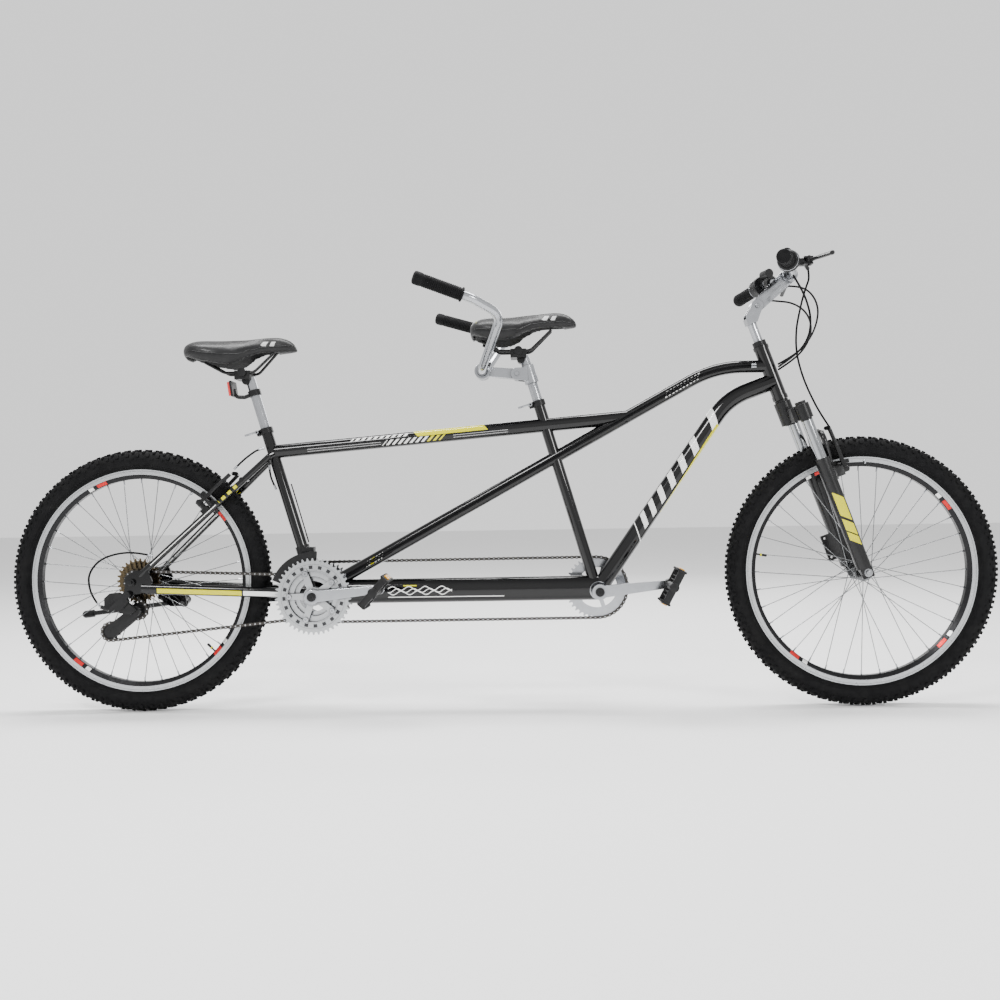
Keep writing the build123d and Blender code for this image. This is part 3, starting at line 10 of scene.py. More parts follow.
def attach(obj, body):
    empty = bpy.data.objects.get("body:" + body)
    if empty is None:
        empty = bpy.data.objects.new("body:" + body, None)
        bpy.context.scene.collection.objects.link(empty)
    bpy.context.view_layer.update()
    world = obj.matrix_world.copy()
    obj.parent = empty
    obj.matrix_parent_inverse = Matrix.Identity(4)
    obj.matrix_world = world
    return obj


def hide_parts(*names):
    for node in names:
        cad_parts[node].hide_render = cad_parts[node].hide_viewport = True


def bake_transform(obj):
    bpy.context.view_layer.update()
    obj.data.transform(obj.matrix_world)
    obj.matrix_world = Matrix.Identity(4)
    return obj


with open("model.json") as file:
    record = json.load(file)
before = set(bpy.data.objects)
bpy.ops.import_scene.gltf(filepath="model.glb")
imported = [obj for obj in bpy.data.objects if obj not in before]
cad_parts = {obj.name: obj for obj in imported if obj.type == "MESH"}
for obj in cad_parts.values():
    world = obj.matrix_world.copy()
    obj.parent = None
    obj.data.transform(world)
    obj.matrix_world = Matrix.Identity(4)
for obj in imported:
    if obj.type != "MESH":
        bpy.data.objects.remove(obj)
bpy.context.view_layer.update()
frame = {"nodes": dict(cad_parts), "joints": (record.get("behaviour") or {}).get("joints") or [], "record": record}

MM = 0.001
NODES = frame["nodes"]
JOINTS = {joint["name"]: joint for joint in frame["joints"]}
BODY_OF = {node: body for body, nodes in frame["record"]["behaviour"]["bodies"].items() for node in nodes}


def joint_at(name):
    return Vector(JOINTS[name]["pos_m"])


def joint_axis(name):
    return Vector(JOINTS[name]["axis"]).normalized()


# ---------------------------------------------------------------- driving dimensions

WHEELS = {"front": joint_at("front_wheel_spin"), "rear": joint_at("rear_wheel_spin")}
CRANKS = {"captain": joint_at("captain_crank_turn"), "stoker": joint_at("stoker_crank_turn")}
FORK_UP = joint_axis("suspension")
FORK_FORWARD = Vector((FORK_UP.z, 0, -FORK_UP.x))
RIM_OUTER = 286 * MM
RIM_INNER = 262 * MM
SPOKE_COUNT = 36
CHAIN_PITCH = 12.7 * MM
PULLEY_TEETH = 11
SMALL_RING_TEETH = 26
SMALL_COG_TEETH = 13
TIMING_TEETH = 39
TIMING_Y = 58 * MM
BRAKE_ARM_TOP = 361 * MM
HOUSING_RADIUS = 2.5 * MM

# ---------------------------------------------------------------- materials


RANGE_SOCKETS = ("From Min", "From Max", "To Min", "To Max")


class Surface:
    """A Principled material whose masks are worked out from places in the row frame."""

    def __init__(self, name, colour, roughness, metallic=0.0, coat=0.0, sheen=0.0, gloss=0.5):
        self.material = bpy.data.materials.new(name)
        self.material.use_nodes = True
        self.nodes = self.material.node_tree.nodes
        self.links = self.material.node_tree.links
        self.shader = self.nodes["Principled BSDF"]
        self.place = self.nodes.new("ShaderNodeTexCoord").outputs["Object"]
        self.shader.inputs["Base Color"].default_value = (*colour, 1)
        self.shader.inputs["Roughness"].default_value = roughness
        self.shader.inputs["Metallic"].default_value = metallic
        self.shader.inputs["Coat Weight"].default_value = coat
        self.shader.inputs["Coat Roughness"].default_value = 0.04
        self.shader.inputs["Sheen Weight"].default_value = sheen
        self.shader.inputs["Specular IOR Level"].default_value = gloss
        self.colour = None
        self.normal = None

    def math(self, operation, a, b=0.0, c=0.0):
        node = self.nodes.new("ShaderNodeMath")
        node.operation = operation
        for socket, value in zip(node.inputs, (a, b, c)):
            if isinstance(value, (int, float)):
                socket.default_value = value
            else:
                self.links.new(value, socket)
        return node.outputs[0]

    def along(self, direction, origin=(0, 0, 0)):
        """Distance along a direction from an origin."""
        direction = Vector(direction).normalized()
        node = self.nodes.new("ShaderNodeVectorMath")
        node.operation = "DOT_PRODUCT"
        self.links.new(self.place, node.inputs[0])
        node.inputs[1].default_value = direction
        return self.math("SUBTRACT", node.outputs["Value"], direction.dot(Vector(origin)))

    def within(self, value, low, high):
        return self.math("COMPARE", value, (low + high) / 2, (high - low) / 2)

    def both(self, first, second):
        return self.math("MULTIPLY", first, second)

    def either(self, masks):
        total = masks[0]
        for mask in masks[1:]:
            total = self.math("MAXIMUM", total, mask)
        return total

    def noise(self, scale, detail=3.0, stretch=(1, 1, 1)):
        mapping = self.nodes.new("ShaderNodeMapping")
        mapping.inputs["Scale"].default_value = stretch
        self.links.new(self.place, mapping.inputs["Vector"])
        node = self.nodes.new("ShaderNodeTexNoise")
        node.inputs["Scale"].default_value = scale
        node.inputs["Detail"].default_value = detail
        self.links.new(mapping.outputs["Vector"], node.inputs["Vector"])
        return node.outputs["Fac"]

    def cells(self, scale):
        node = self.nodes.new("ShaderNodeTexVoronoi")
        node.inputs["Scale"].default_value = scale
        self.links.new(self.place, node.inputs["Vector"])
        return node.outputs["Distance"]

    def paint(self, mask, colour):
        """Lays a colour over what is painted so far, where the mask is 1."""
        mix = self.nodes.new("ShaderNodeMix")
        mix.data_type = "RGBA"
        if self.colour is None:
            mix.inputs["A"].default_value = self.shader.inputs["Base Color"].default_value
        else:
            self.links.new(self.colour, mix.inputs["A"])
        mix.inputs["B"].default_value = (*colour, 1)
        self.links.new(mask, mix.inputs["Factor"])
        self.colour = mix.outputs["Result"]
        self.links.new(self.colour, self.shader.inputs["Base Color"])
        return self

    def spread(self, value, low, high, out_low=0.0, out_high=1.0):
        node = self.nodes.new("ShaderNodeMapRange")
        for socket, number in zip(RANGE_SOCKETS, (low, high, out_low, out_high)):
            node.inputs[socket].default_value = number
        self.links.new(value, node.inputs["Value"])
        return node.outputs["Result"]

    def tone(self, scale, colour, amount=1.0):
        """Patches of a second tone, such as dust, wear or grease."""
        return self.paint(self.spread(self.noise(scale), 0.45, 0.75, 0.0, amount), colour)

    def creases(self, colour, reach, amount):
        """Painted shade: darkens the colour in the corners where neighbouring faces come within reach of each
        other.
        """
        node = self.nodes.new("ShaderNodeAmbientOcclusion")
        node.samples = 6
        node.inputs["Distance"].default_value = reach
        return self.paint(self.spread(node.outputs["AO"], 0.35, 0.92, amount, 0.0), colour)

    def rough(self, low, high, scale=40, stretch=(1, 1, 1)):
        value = self.spread(self.noise(scale, 4.0, stretch), 0.3, 0.7, low, high)
        self.links.new(value, self.shader.inputs["Roughness"])
        return self

    def bump(self, height, strength, distance=0.2 * MM):
        node = self.nodes.new("ShaderNodeBump")
        node.inputs["Strength"].default_value = strength
        node.inputs["Distance"].default_value = distance
        self.links.new(height, node.inputs["Height"])
        if self.normal is not None:
            self.links.new(self.normal, node.inputs["Normal"])
        self.normal = node.outputs["Normal"]
        self.links.new(self.normal, self.shader.inputs["Normal"])
        return self


BLACK = (0.0015, 0.0015, 0.0018)
WHITE = (0.82, 0.82, 0.80)
YELLOW = (0.60, 0.56, 0.0)
SILVER = (0.40, 0.41, 0.43)
DUST = (0.016, 0.0155, 0.0145)


def gloss_black(name):
    surface = Surface(name, BLACK, 0.10, coat=0.25, gloss=0.28)
    surface.rough(0.07, 0.13, 18)
    return surface.bump(surface.noise(220, 2.0), 0.02)


def side_only(surface, half_width):
    """Mask of the two sides of a tube, leaving out a band along its top and foot."""
    return surface.math("GREATER_THAN", surface.math("ABSOLUTE", surface.along((0, 1, 0))), half_width)


def down_tube_paint():
    """White slanted bars down the tube's sides and a yellow flash along its lower edge."""
    surface = gloss_black("down_tube_paint")
    foot = CRANKS["captain"]
    along_tube = Vector((0.5724, 0, 0.8200))
    forward = Vector((0.8200, 0, -0.5724))
    s = surface.along(along_tube, foot)
    across = surface.along(forward, foot)
    slanted = surface.math("MULTIPLY_ADD", across, 0.75, s)
    starts = (0.200, 0.236, 0.276, 0.320, 0.368, 0.420)
    bars = [surface.within(slanted, start, start + 0.016 + 0.03 * (start - 0.2)) for start in starts]
    bars_mask = surface.both(surface.either(bars), surface.within(across, -0.019, 0.011))
    collars = ((0.500, 0.524), (0.174, 0.177))
    collar_mask = surface.either([surface.within(slanted, start, end) for start, end in collars])
    surface.paint(bars_mask, WHITE)
    surface.paint(collar_mask, WHITE)
    taper = surface.spread(s, 0.24, 0.50, 0.0195, 0.0115)
    edge = surface.math("GREATER_THAN", across, taper)
    surface.paint(surface.both(edge, surface.within(s, 0.25, 0.512)), YELLOW)
    return surface.material


def dashes(surface, value, start, end, pitch, share):
    """Evenly spaced dashes between start and end."""
    phase = surface.math("FRACT", surface.math("DIVIDE", value, pitch))
    return surface.both(surface.math("LESS_THAN", phase, share), surface.within(value, start, end))


def top_tube_paint():
    """Yellow flash, two rows of white dashes and pinstripe slots on the top tube."""
    surface = gloss_black("top_tube_paint")
    start = Vector((-0.562, 0, 0.6635))
    along_tube = Vector((0.9969, 0, 0.0788))
    upward = Vector((-0.0788, 0, 0.9969))
    s = surface.along(along_tube, start)
    up = surface.along(upward, start)
    slanted = surface.math("MULTIPLY_ADD", up, -1.1, s)
    leaning = surface.math("MULTIPLY_ADD", up, 0.8, s)
    flash = surface.both(surface.within(leaning, 0.372, 0.552), surface.within(up, 0.0025, 0.0165))
    row = surface.both(dashes(surface, slanted, 0.19, 0.335, 0.0155, 0.55), surface.within(up, 0.006, 0.0125))
    low_band = surface.within(up, -0.012, 0.001)
    low_row = surface.both(dashes(surface, slanted, 0.290, 0.425, 0.0150, 0.5), low_band)
    last = surface.both(dashes(surface, slanted, 0.400, 0.440, 0.0150, 0.5), low_band)
    lines = surface.either([surface.within(up, -0.0035, -0.0025), surface.within(up, -0.0090, -0.0080)])
    slots = surface.either([surface.within(s, 0.085, 0.275), surface.within(s, 0.46, 0.60)])
    surface.paint(surface.both(lines, slots), (0.45, 0.45, 0.45))
    surface.paint(surface.both(row, side_only(surface, 0.004)), WHITE)
    surface.paint(surface.both(low_row, side_only(surface, 0.004)), WHITE)
    surface.paint(last, YELLOW)
    surface.paint(flash, YELLOW)
    return surface.material


def boom_paint():
    """Rows of generic waves with a yellow bar, over a white line of painted highlight along the lower edge."""
    surface = gloss_black("boom_paint")
    left, right = -0.275, -0.112
    x = surface.along((1, 0, 0))
    z = surface.along((0, 0, 1))
    sides = side_only(surface, 0.008)
    masks = []
    for phase, height in ((0.0, 0.2985), (1.6, 0.3040), (3.4, 0.3095)):
        wave = surface.math("SINE", surface.math("MULTIPLY_ADD", x, 150.0, phase))
        line = surface.math("MULTIPLY_ADD", wave, -0.0048, surface.math("SUBTRACT", z, height))
        masks.append(surface.within(line, -0.0011, 0.0011))
    waves = surface.both(surface.either(masks), surface.within(x, left, right))
    surface.paint(surface.both(waves, sides), WHITE)
    # White line low on the sides: a painted highlight along the boom's lower edge.
    stripe = surface.both(surface.within(x, left, 0.02), surface.within(z, 0.2865, 0.2885))
    surface.paint(surface.both(stripe, sides), WHITE)
    bar = surface.both(surface.within(x, -0.236, -0.202), surface.within(z, 0.3150, 0.3180))
    surface.paint(surface.both(bar, sides), YELLOW)
    return surface.material


def lateral_paint():
    """Small generic dashes at the tube's foot and below its upper bend."""
    surface = gloss_black("lateral_paint")
    along_tube = Vector((1.0168, 0, 0.553)).normalized()
    upward = Vector((-along_tube.z, 0, along_tube.x))
    s = surface.along(along_tube, CRANKS["stoker"])
    up = surface.along(upward, (CRANKS["stoker"].x, 0, 0.303))
    slanted = surface.math("MULTIPLY_ADD", up, -0.8, s)
    sides = side_only(surface, 0.006)
    low_row = dashes(surface, slanted, 0.150, 0.196, 0.0092, 0.5)
    high_row = dashes(surface, slanted, 1.02, 1.12, 0.0100, 0.5)
    band = surface.within(up, -0.007, 0.006)
    surface.paint(surface.both(surface.both(surface.either([low_row, high_row]), band), sides), WHITE)
    tip = surface.both(surface.within(slanted, 0.162, 0.172), band)
    surface.paint(surface.both(tip, sides), YELLOW)
    return surface.material


def chain_stay_paint():
    """Yellow then white stripe low on the outer face of the right stay."""
    surface = gloss_black("chain_stay_paint")
    stay = Vector((-0.408, 0, 0.021)).normalized()
    x = surface.along((1, 0, 0))
    up = surface.along((stay.z, 0, -stay.x), (-0.482, 0, 0.301))
    right = surface.math("LESS_THAN", surface.along((0, 1, 0)), -0.030)
    band = surface.both(surface.within(up, -0.0095, 0.0025), right)
    surface.paint(surface.both(band, surface.within(x, -0.850, -0.641)), YELLOW)
    surface.paint(surface.both(band, surface.within(x, -0.637, -0.545)), WHITE)
    return surface.material


def seat_stay_paint():
    """Thin white stripe and two short yellow marks along the stays."""
    surface = gloss_black("seat_stay_paint")
    stay = Vector((0.322, 0, 0.296)).normalized()
    s = surface.along(stay, (-0.896, 0, 0.354))
    up = surface.along((-stay.z, 0, stay.x), (-0.896, 0, 0.354))
    stripe = surface.both(surface.within(up, -0.0012, 0.0008), surface.within(s, 0.04, 0.26))
    marks = surface.both(dashes(surface, s, 0.27, 0.33, 0.020, 0.55), surface.within(up, -0.004, 0.004))
    sides = surface.math("GREATER_THAN", surface.math("ABSOLUTE", surface.along((0, 1, 0))), 0.030)
    surface.paint(surface.both(stripe, sides), WHITE)
    surface.paint(surface.both(marks, sides), YELLOW)
    return surface.material


def fork_paint():
    """Satin black legs with a long yellow flash on each outer face."""
    surface = Surface("fork_paint", (0.003, 0.003, 0.0035), 0.3, coat=0.15, gloss=0.3)
    surface.rough(0.24, 0.38, 30)
    surface.bump(surface.noise(240, 2.0), 0.05)
    up = surface.along(FORK_UP, WHEELS["front"])
    forward = surface.along(FORK_FORWARD, WHEELS["front"] - FORK_FORWARD * 0.006)
    outside = surface.math("GREATER_THAN", surface.math("ABSOLUTE", surface.along((0, 1, 0))), 0.070)
    slanted = surface.math("MULTIPLY_ADD", forward, 0.9, up)
    bars = surface.either([surface.within(slanted, 0.146, 0.206), surface.within(slanted, 0.082, 0.138)])
    gap = surface.math("SUBTRACT", 1.0, surface.within(slanted, 0.104, 0.108))
    body = surface.both(surface.both(bars, gap), surface.within(forward, -0.011, 0.012))
    surface.paint(surface.both(body, outside), YELLOW)
    return surface.material


def rim_paint(where):
    """Black rim with machined brake tracks, and a few small red and white marks on its sides."""
    centre = WHEELS[where]
    surface = Surface(f"{where}_rim_metal", (0.012, 0.012, 0.013), 0.3, metallic=0.5, gloss=0.3)
    dx = surface.along((1, 0, 0), centre)
    dz = surface.along((0, 0, 1), centre)
    squares = surface.math("ADD", surface.math("MULTIPLY", dx, dx), surface.math("MULTIPLY", dz, dz))
    radius = surface.math("SQRT", squares)
    surface.paint(surface.within(radius, 0.2725, 0.290), (0.40, 0.41, 0.42))
    surface.paint(surface.within(radius, 0.2815, 0.2822), (0.05, 0.05, 0.05))
    turn = surface.math("ARCTAN2", dz, dx)
    well = surface.within(radius, 0.2635, 0.2715)
    starts = (0.6, 1.9, -0.8, -2.3)
    red = surface.either([surface.within(turn, start, start + 0.10) for start in starts])
    white = surface.either([surface.within(turn, start + 0.14, start + 0.19) for start in starts])
    surface.paint(surface.both(red, well), (0.55, 0.02, 0.02))
    surface.paint(surface.both(white, well), WHITE)
    surface.rough(0.22, 0.36, 60)
    rings = surface.math("SINE", surface.math("MULTIPLY", radius, 16000.0))
    return surface.bump(rings, 0.12, 0.05 * MM).material


def ring_paint(rider, inner, outer, holes):
    """Silver ring painted with shade: a circle of dark patches where its cut-outs are, two thin darker rings as
    groove shade round them, painted corner shade, and turned grooves in its bump.
    """
    centre = CRANKS[rider]
    surface = Surface(f"{rider}_ring_alloy", (0.44, 0.45, 0.46), 0.2, metallic=1.0)
    dx = surface.along((1, 0, 0), centre)
    dz = surface.along((0, 0, 1), centre)
    squares = surface.math("ADD", surface.math("MULTIPLY", dx, dx), surface.math("MULTIPLY", dz, dz))
    radius = surface.math("SQRT", squares)
    turn = surface.math("MULTIPLY", surface.math("ARCTAN2", dz, dx), holes / (2 * math.pi))
    # Painted shade: dark patches where the ring's cut-outs are, and two thin darker rings as the shade of grooves
    # either side of them.
    painted_pocket_shade = surface.math("LESS_THAN", surface.math("FRACT", turn), 0.42)
    surface.paint(surface.both(painted_pocket_shade, surface.within(radius, inner, outer)), (0.05, 0.05, 0.052))
    surface.paint(surface.within(radius, outer + 0.0025, outer + 0.0033), (0.16, 0.16, 0.16))
    surface.paint(surface.within(radius, inner - 0.0033, inner - 0.0025), (0.16, 0.16, 0.16))
    # Painted shade in the corners, from ambient occlusion.
    surface.creases((0.03, 0.03, 0.031), 10 * MM, 0.85)
    surface.rough(0.14, 0.30, 90)
    grooves = surface.math("SINE", surface.math("MULTIPLY", radius, 9000.0))
    return surface.bump(grooves, 0.15, 0.05 * MM).material


def crown_paint():
    """Satin black crown and caps over bright stanchions."""
    surface = Surface("crown_paint", (0.0045, 0.0045, 0.005), 0.3, gloss=0.28)
    up = surface.along(FORK_UP, WHEELS["front"])
    side = surface.math("GREATER_THAN", surface.math("ABSOLUTE", surface.along((0, 1, 0))), 0.045)
    bare = surface.both(side, surface.math("LESS_THAN", up, 0.4018))
    surface.paint(bare, (0.30, 0.31, 0.32))
    surface.links.new(bare, surface.shader.inputs["Metallic"])
    surface.links.new(surface.spread(bare, 0.0, 1.0, 0.34, 0.10), surface.shader.inputs["Roughness"])
    return surface.bump(surface.noise(240, 2.0), 0.02).material


def metal(name, colour, low, high, stretch=(1, 1, 1), wear=None):
    surface = Surface(name, colour, low, metallic=1.0)
    if wear is not None:
        surface.tone(26, wear, 0.5)
    # Painted shade in the corners and creases, from ambient occlusion.
    surface.creases((0.03, 0.03, 0.031), 14 * MM, 0.85)
    surface.rough(low, high, 90, stretch)
    return surface.bump(surface.noise(700, 3.0, stretch), 0.04, 0.05 * MM).material


def plastic(name, colour, roughness, grain=900, strength=0.25, tone=DUST):
    surface = Surface(name, colour, roughness, gloss=0.28)
    surface.tone(60, tone, 0.22)
    surface.rough(roughness - 0.08, roughness + 0.08, 50)
    return surface.bump(surface.noise(grain, 4.0), strength, 0.12 * MM).material


def rubber(name, colour, dusty):
    surface = Surface(name, colour, 0.7, gloss=0.13)
    surface.tone(22, DUST, dusty)
    surface.rough(0.58, 0.82, 70)
    surface.bump(surface.noise(500, 5.0), 0.25, 0.2 * MM)
    return surface.material


def saddle_cover():
    """Grained vinyl: cells for the leather grain, and faint creases over them."""
    surface = Surface("saddle_cover", (0.004, 0.004, 0.0045), 0.42, coat=0.06, gloss=0.3)
    surface.tone(14, (0.009, 0.009, 0.0095), 0.5)
    surface.rough(0.34, 0.52, 40)
    surface.bump(surface.cells(620), 0.35, 0.25 * MM)
    surface.bump(surface.noise(60, 4.0), 0.12, 0.4 * MM)
    return surface


def captain_cover():
    """The front saddle's cover, with an olive stripe across its tail and two white flashes by its nose."""
    surface = saddle_cover()
    surface.material.name = "captain_saddle_cover"
    x = surface.along((1, 0, 0))
    top = surface.math("GREATER_THAN", surface.along((0, 0, 1)), 0.972)
    surface.paint(surface.both(surface.within(x, -0.040, -0.036), top), (0.13, 0.13, 0.03))
    return patched(surface, 0.150, 0.980)


def patched(surface, start, low):
    """Adds two slanted white flashes on each side of the nose, in a low band."""
    x = surface.along((1, 0, 0))
    y = surface.math("ABSOLUTE", surface.along((0, 1, 0)))
    slanted = surface.math("MULTIPLY_ADD", y, 0.8, x)
    flashes = surface.either([
        surface.within(slanted, start, start + 0.012), surface.within(slanted, start + 0.020, start + 0.030),
    ])
    height = surface.within(surface.along((0, 0, 1)), low, low + 0.012)
    band = surface.both(surface.within(y, 0.012, 0.030), height)
    surface.paint(surface.both(flashes, band), (0.5, 0.5, 0.5))
    return surface.material


def stoker_cover():
    surface = saddle_cover()
    surface.material.name = "stoker_saddle_cover"
    return patched(surface, -0.565, 0.931)


def lens(name, colour):
    """Moulded reflector: clear coloured plastic over a fine prism grid."""
    surface = Surface(name, colour, 0.12, coat=1.0)
    surface.tone(90, tuple(c * 0.55 for c in colour), 0.6)
    surface.rough(0.08, 0.18, 200)
    return surface.bump(surface.cells(420), 0.9, 0.4 * MM).material


PAINT = gloss_black("frame_paint").material
SATIN_BLACK = plastic("satin_black", (0.0045, 0.0045, 0.005), 0.34, 700, 0.10)
BRIGHT = metal("polished_alloy", SILVER, 0.10, 0.22, (1, 6, 1))
CHROME = metal("bright_steel", (0.44, 0.45, 0.47), 0.06, 0.16)
SPOKE_METAL = metal("spoke_steel", (0.20, 0.205, 0.21), 0.18, 0.32)
COG_METAL = metal("cog_steel", (0.11, 0.082, 0.045), 0.28, 0.46, wear=(0.03, 0.022, 0.013))
CHAIN_METAL = metal("chain_steel", (0.060, 0.056, 0.052), 0.26, 0.44, wear=(0.02, 0.017, 0.013))
TYRE_RUBBER = rubber("tyre_rubber", (0.003, 0.003, 0.0034), 0.2)
GRIP_RUBBER = rubber("grip_rubber", (0.004, 0.004, 0.0045), 0.10)
HOUSING = rubber("cable_housing", (0.003, 0.003, 0.0035), 0.05)
RESIN = plastic("black_resin", (0.004, 0.004, 0.0045), 0.46)
DIAL_BLACK = plastic("shifter_resin", (0.003, 0.003, 0.0035), 0.40)
RED_LENS = lens("red_lens", (0.62, 0.012, 0.010))
AMBER_LENS = lens("amber_lens", (0.90, 0.42, 0.0))
VALVE_YELLOW = plastic("valve_yellow", YELLOW, 0.35)

# ---------------------------------------------------------------- shared mesh tools


def add(name, mesh, body, materials):
    """Links a mesh object into the scene and makes it ride on a body."""
    piece = bpy.data.objects.new(name, mesh)
    bpy.context.scene.collection.objects.link(piece)
    for material in materials:
        mesh.materials.append(material)
    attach(piece, body)
    return piece


def shade(mesh, angle=32):
    """Smooth shading that keeps corners sharper than the angle."""
    mesh.shade_smooth()
    mesh.set_sharp_from_angle(angle=math.radians(angle))


def built(name, verts, faces, body, material, angle=32):
    mesh = bpy.data.meshes.new(name)
    mesh.from_pydata([tuple(v) for v in verts], [], faces)
    mesh.validate()
    work = bmesh.new()
    work.from_mesh(mesh)
    bmesh.ops.recalc_face_normals(work, faces=work.faces)
    work.to_mesh(mesh)
    work.free()
    shade(mesh, angle)
    return add(name, mesh, body, [material])


def across_to(axis):
    """Two directions square to an axis and to each other."""
    axis = Vector(axis).normalized()
    helper = Vector((0, 0, 1)) if abs(axis.z) < 0.9 else Vector((1, 0, 0))
    side = axis.cross(helper).normalized()
    return side, axis.cross(side)


def lathe_parts(profile, centre, axis, segments, closed, ripple=None):
    """Vertices and faces of a profile of (radius, distance along the axis) turned round the axis."""
    axis = Vector(axis).normalized()
    side, other = across_to(axis)
    verts = []
    for step in range(segments):
        angle = 2 * math.pi * step / segments
        out = side * math.cos(angle) + other * math.sin(angle)
        for radius, along in profile:
            reach = radius if ripple is None else radius * ripple(angle, along)
            verts.append(Vector(centre) + out * reach + axis * along)
    count = len(profile)
    faces = []
    for step in range(segments):
        here = step * count
        there = ((step + 1) % segments) * count
        for index in range(count if closed else count - 1):
            after = (index + 1) % count
            faces.append((here + index, here + after, there + after, there + index))
    return verts, faces


def lathe(
    name, profile, centre, axis, body, material, segments=48, closed=True, ripple=None, angle=32
):
    """Piece turned round an axis. A closed profile makes a ring; an open one starts and ends on the axis."""
    verts, faces = lathe_parts(profile, centre, axis, segments, closed, ripple)
    return built(name, verts, faces, body, material, angle)


def scaled(profile):
    """Profile in metres from one in millimetres."""
    return [(radius * MM, along * MM) for radius, along in profile]


def tubes(name, spans, radius, body, material, sides=10):
    """Many straight rods in one mesh: spans is a list of (start, end)."""
    verts = []
    faces = []
    for start, end in spans:
        axis = Vector(end) - Vector(start)
        length = axis.length
        profile = [(0.0, 0.0), (radius, 0.0), (radius, length), (0.0, length)]
        more, quads = lathe_parts(profile, start, axis, sides, False)
        base = len(verts)
        verts.extend(more)
        faces.extend(tuple(base + index for index in quad) for quad in quads)
    return built(name, verts, faces, body, material)


def blocks(name, places, size, body, material, bevel=0.0):
    """Many boxes in one mesh: places is a list of 4x4 matrices."""
    work = bmesh.new()
    for place in places:
        made = bmesh.ops.create_cube(work, size=1.0)
        bmesh.ops.scale(work, verts=made["verts"], vec=size)
        bmesh.ops.transform(work, verts=made["verts"], matrix=place)
    if bevel > 0:
        bmesh.ops.bevel(work, geom=list(work.edges), offset=bevel, segments=2, affect="EDGES", profile=0.6)
    mesh = bpy.data.meshes.new(name)
    work.to_mesh(mesh)
    work.free()
    shade(mesh)
    return add(name, mesh, body, [material])


def turned(origin, x_dir, z_dir):
    """Matrix of a place whose local X and Z point along the given directions."""
    z_axis = Vector(z_dir).normalized()
    y_axis = z_axis.cross(Vector(x_dir)).normalized()
    x_axis = y_axis.cross(z_axis)
    turn = Matrix((x_axis, y_axis, z_axis)).transposed().to_4x4()
    return Matrix.Translation(origin) @ turn


def islands(work):
    """Groups of faces that hang together."""
    seen = set()
    groups = []
    for face in work.faces:
        if face in seen:
            continue
        group = []
        stack = [face]
        seen.add(face)
        while stack:
            current = stack.pop()
            group.append(current)
            for edge in current.edges:
                for neighbour in edge.link_faces:
                    if neighbour not in seen:
                        seen.add(neighbour)
                        stack.append(neighbour)
        groups.append(group)
    return groups


def rounded(node, default, width=0.8 * MM, rules=()):
    """Copy of a CAD node with its edges rounded, shown in the node's place.

    Each rule is (material, test), where the test reads the centre and size of a separate solid."""
    mesh = NODES[node].data.copy()
    mesh.name = f"{node}_shown"
    mesh.materials.clear()
    work = bmesh.new()
    work.from_mesh(mesh)
    bmesh.ops.remove_doubles(work, verts=work.verts, dist=0.004 * MM)
    for group in islands(work):
        verts = {vert for face in group for vert in face.verts}
        low = Vector([min(vert.co[axis] for vert in verts) for axis in range(3)])
        high = Vector([max(vert.co[axis] for vert in verts) for axis in range(3)])
        index = 0
        for number, (_, test) in enumerate(rules, 1):
            if test((low + high) / 2, high - low):
                index = number
                break
        for face in group:
            face.material_index = index
    bmesh.ops.dissolve_limit(
        work, angle_limit=math.radians(0.6), verts=work.verts, edges=work.edges, delimit={"MATERIAL"},
    )
    work.to_mesh(mesh)
    work.free()
    shade(mesh, 34)
    piece = add(f"{node}_shown", mesh, BODY_OF[node], [default, *[material for material, _ in rules]])
    bevel = piece.modifiers.new("edges", "BEVEL")
    bevel.width = width
    bevel.segments = 2
    bevel.limit_method = "ANGLE"
    bevel.angle_limit = math.radians(38)
    bevel.harden_normals = True
    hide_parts(node)
    return piece


def dress(material, *names):
    for name in names:
        for slot in NODES[name].material_slots:
            slot.material = material


# ---------------------------------------------------------------- wheels

CASING_WIDTH = 25.5 * MM
CASING_HEIGHT = 23 * MM
CASING_CENTRE = 310 * MM
LUG_COUNT = 76
LUG_BEVEL = 0.7 * MM
SIDE_RIB = 0.5 * MM
SIDE_RIB_RADII = (292, 296.5)


def casing_point(turn):
    """Radius, offset across and outward direction of the tyre's casing at an angle from its crown."""
    radius = CASING_CENTRE + CASING_HEIGHT * math.cos(turn)
    offset = CASING_WIDTH * math.sin(turn)
    normal = Vector((math.cos(turn) * CASING_WIDTH, math.sin(turn) * CASING_HEIGHT)).normalized()
    return radius, offset, normal


def wheel_place(centre, angle, radius, offset, normal):
    """Place on a wheel whose local Z points out of the casing and local Y round the wheel."""
    out = Vector((math.cos(angle), 0, math.sin(angle)))
    z_dir = out * normal.x + Vector((0, 1, 0)) * normal.y
    around = Vector((-math.sin(angle), 0, math.cos(angle)))
    return turned(Vector(centre) + out * radius + Vector((0, offset, 0)), around.cross(z_dir), z_dir)


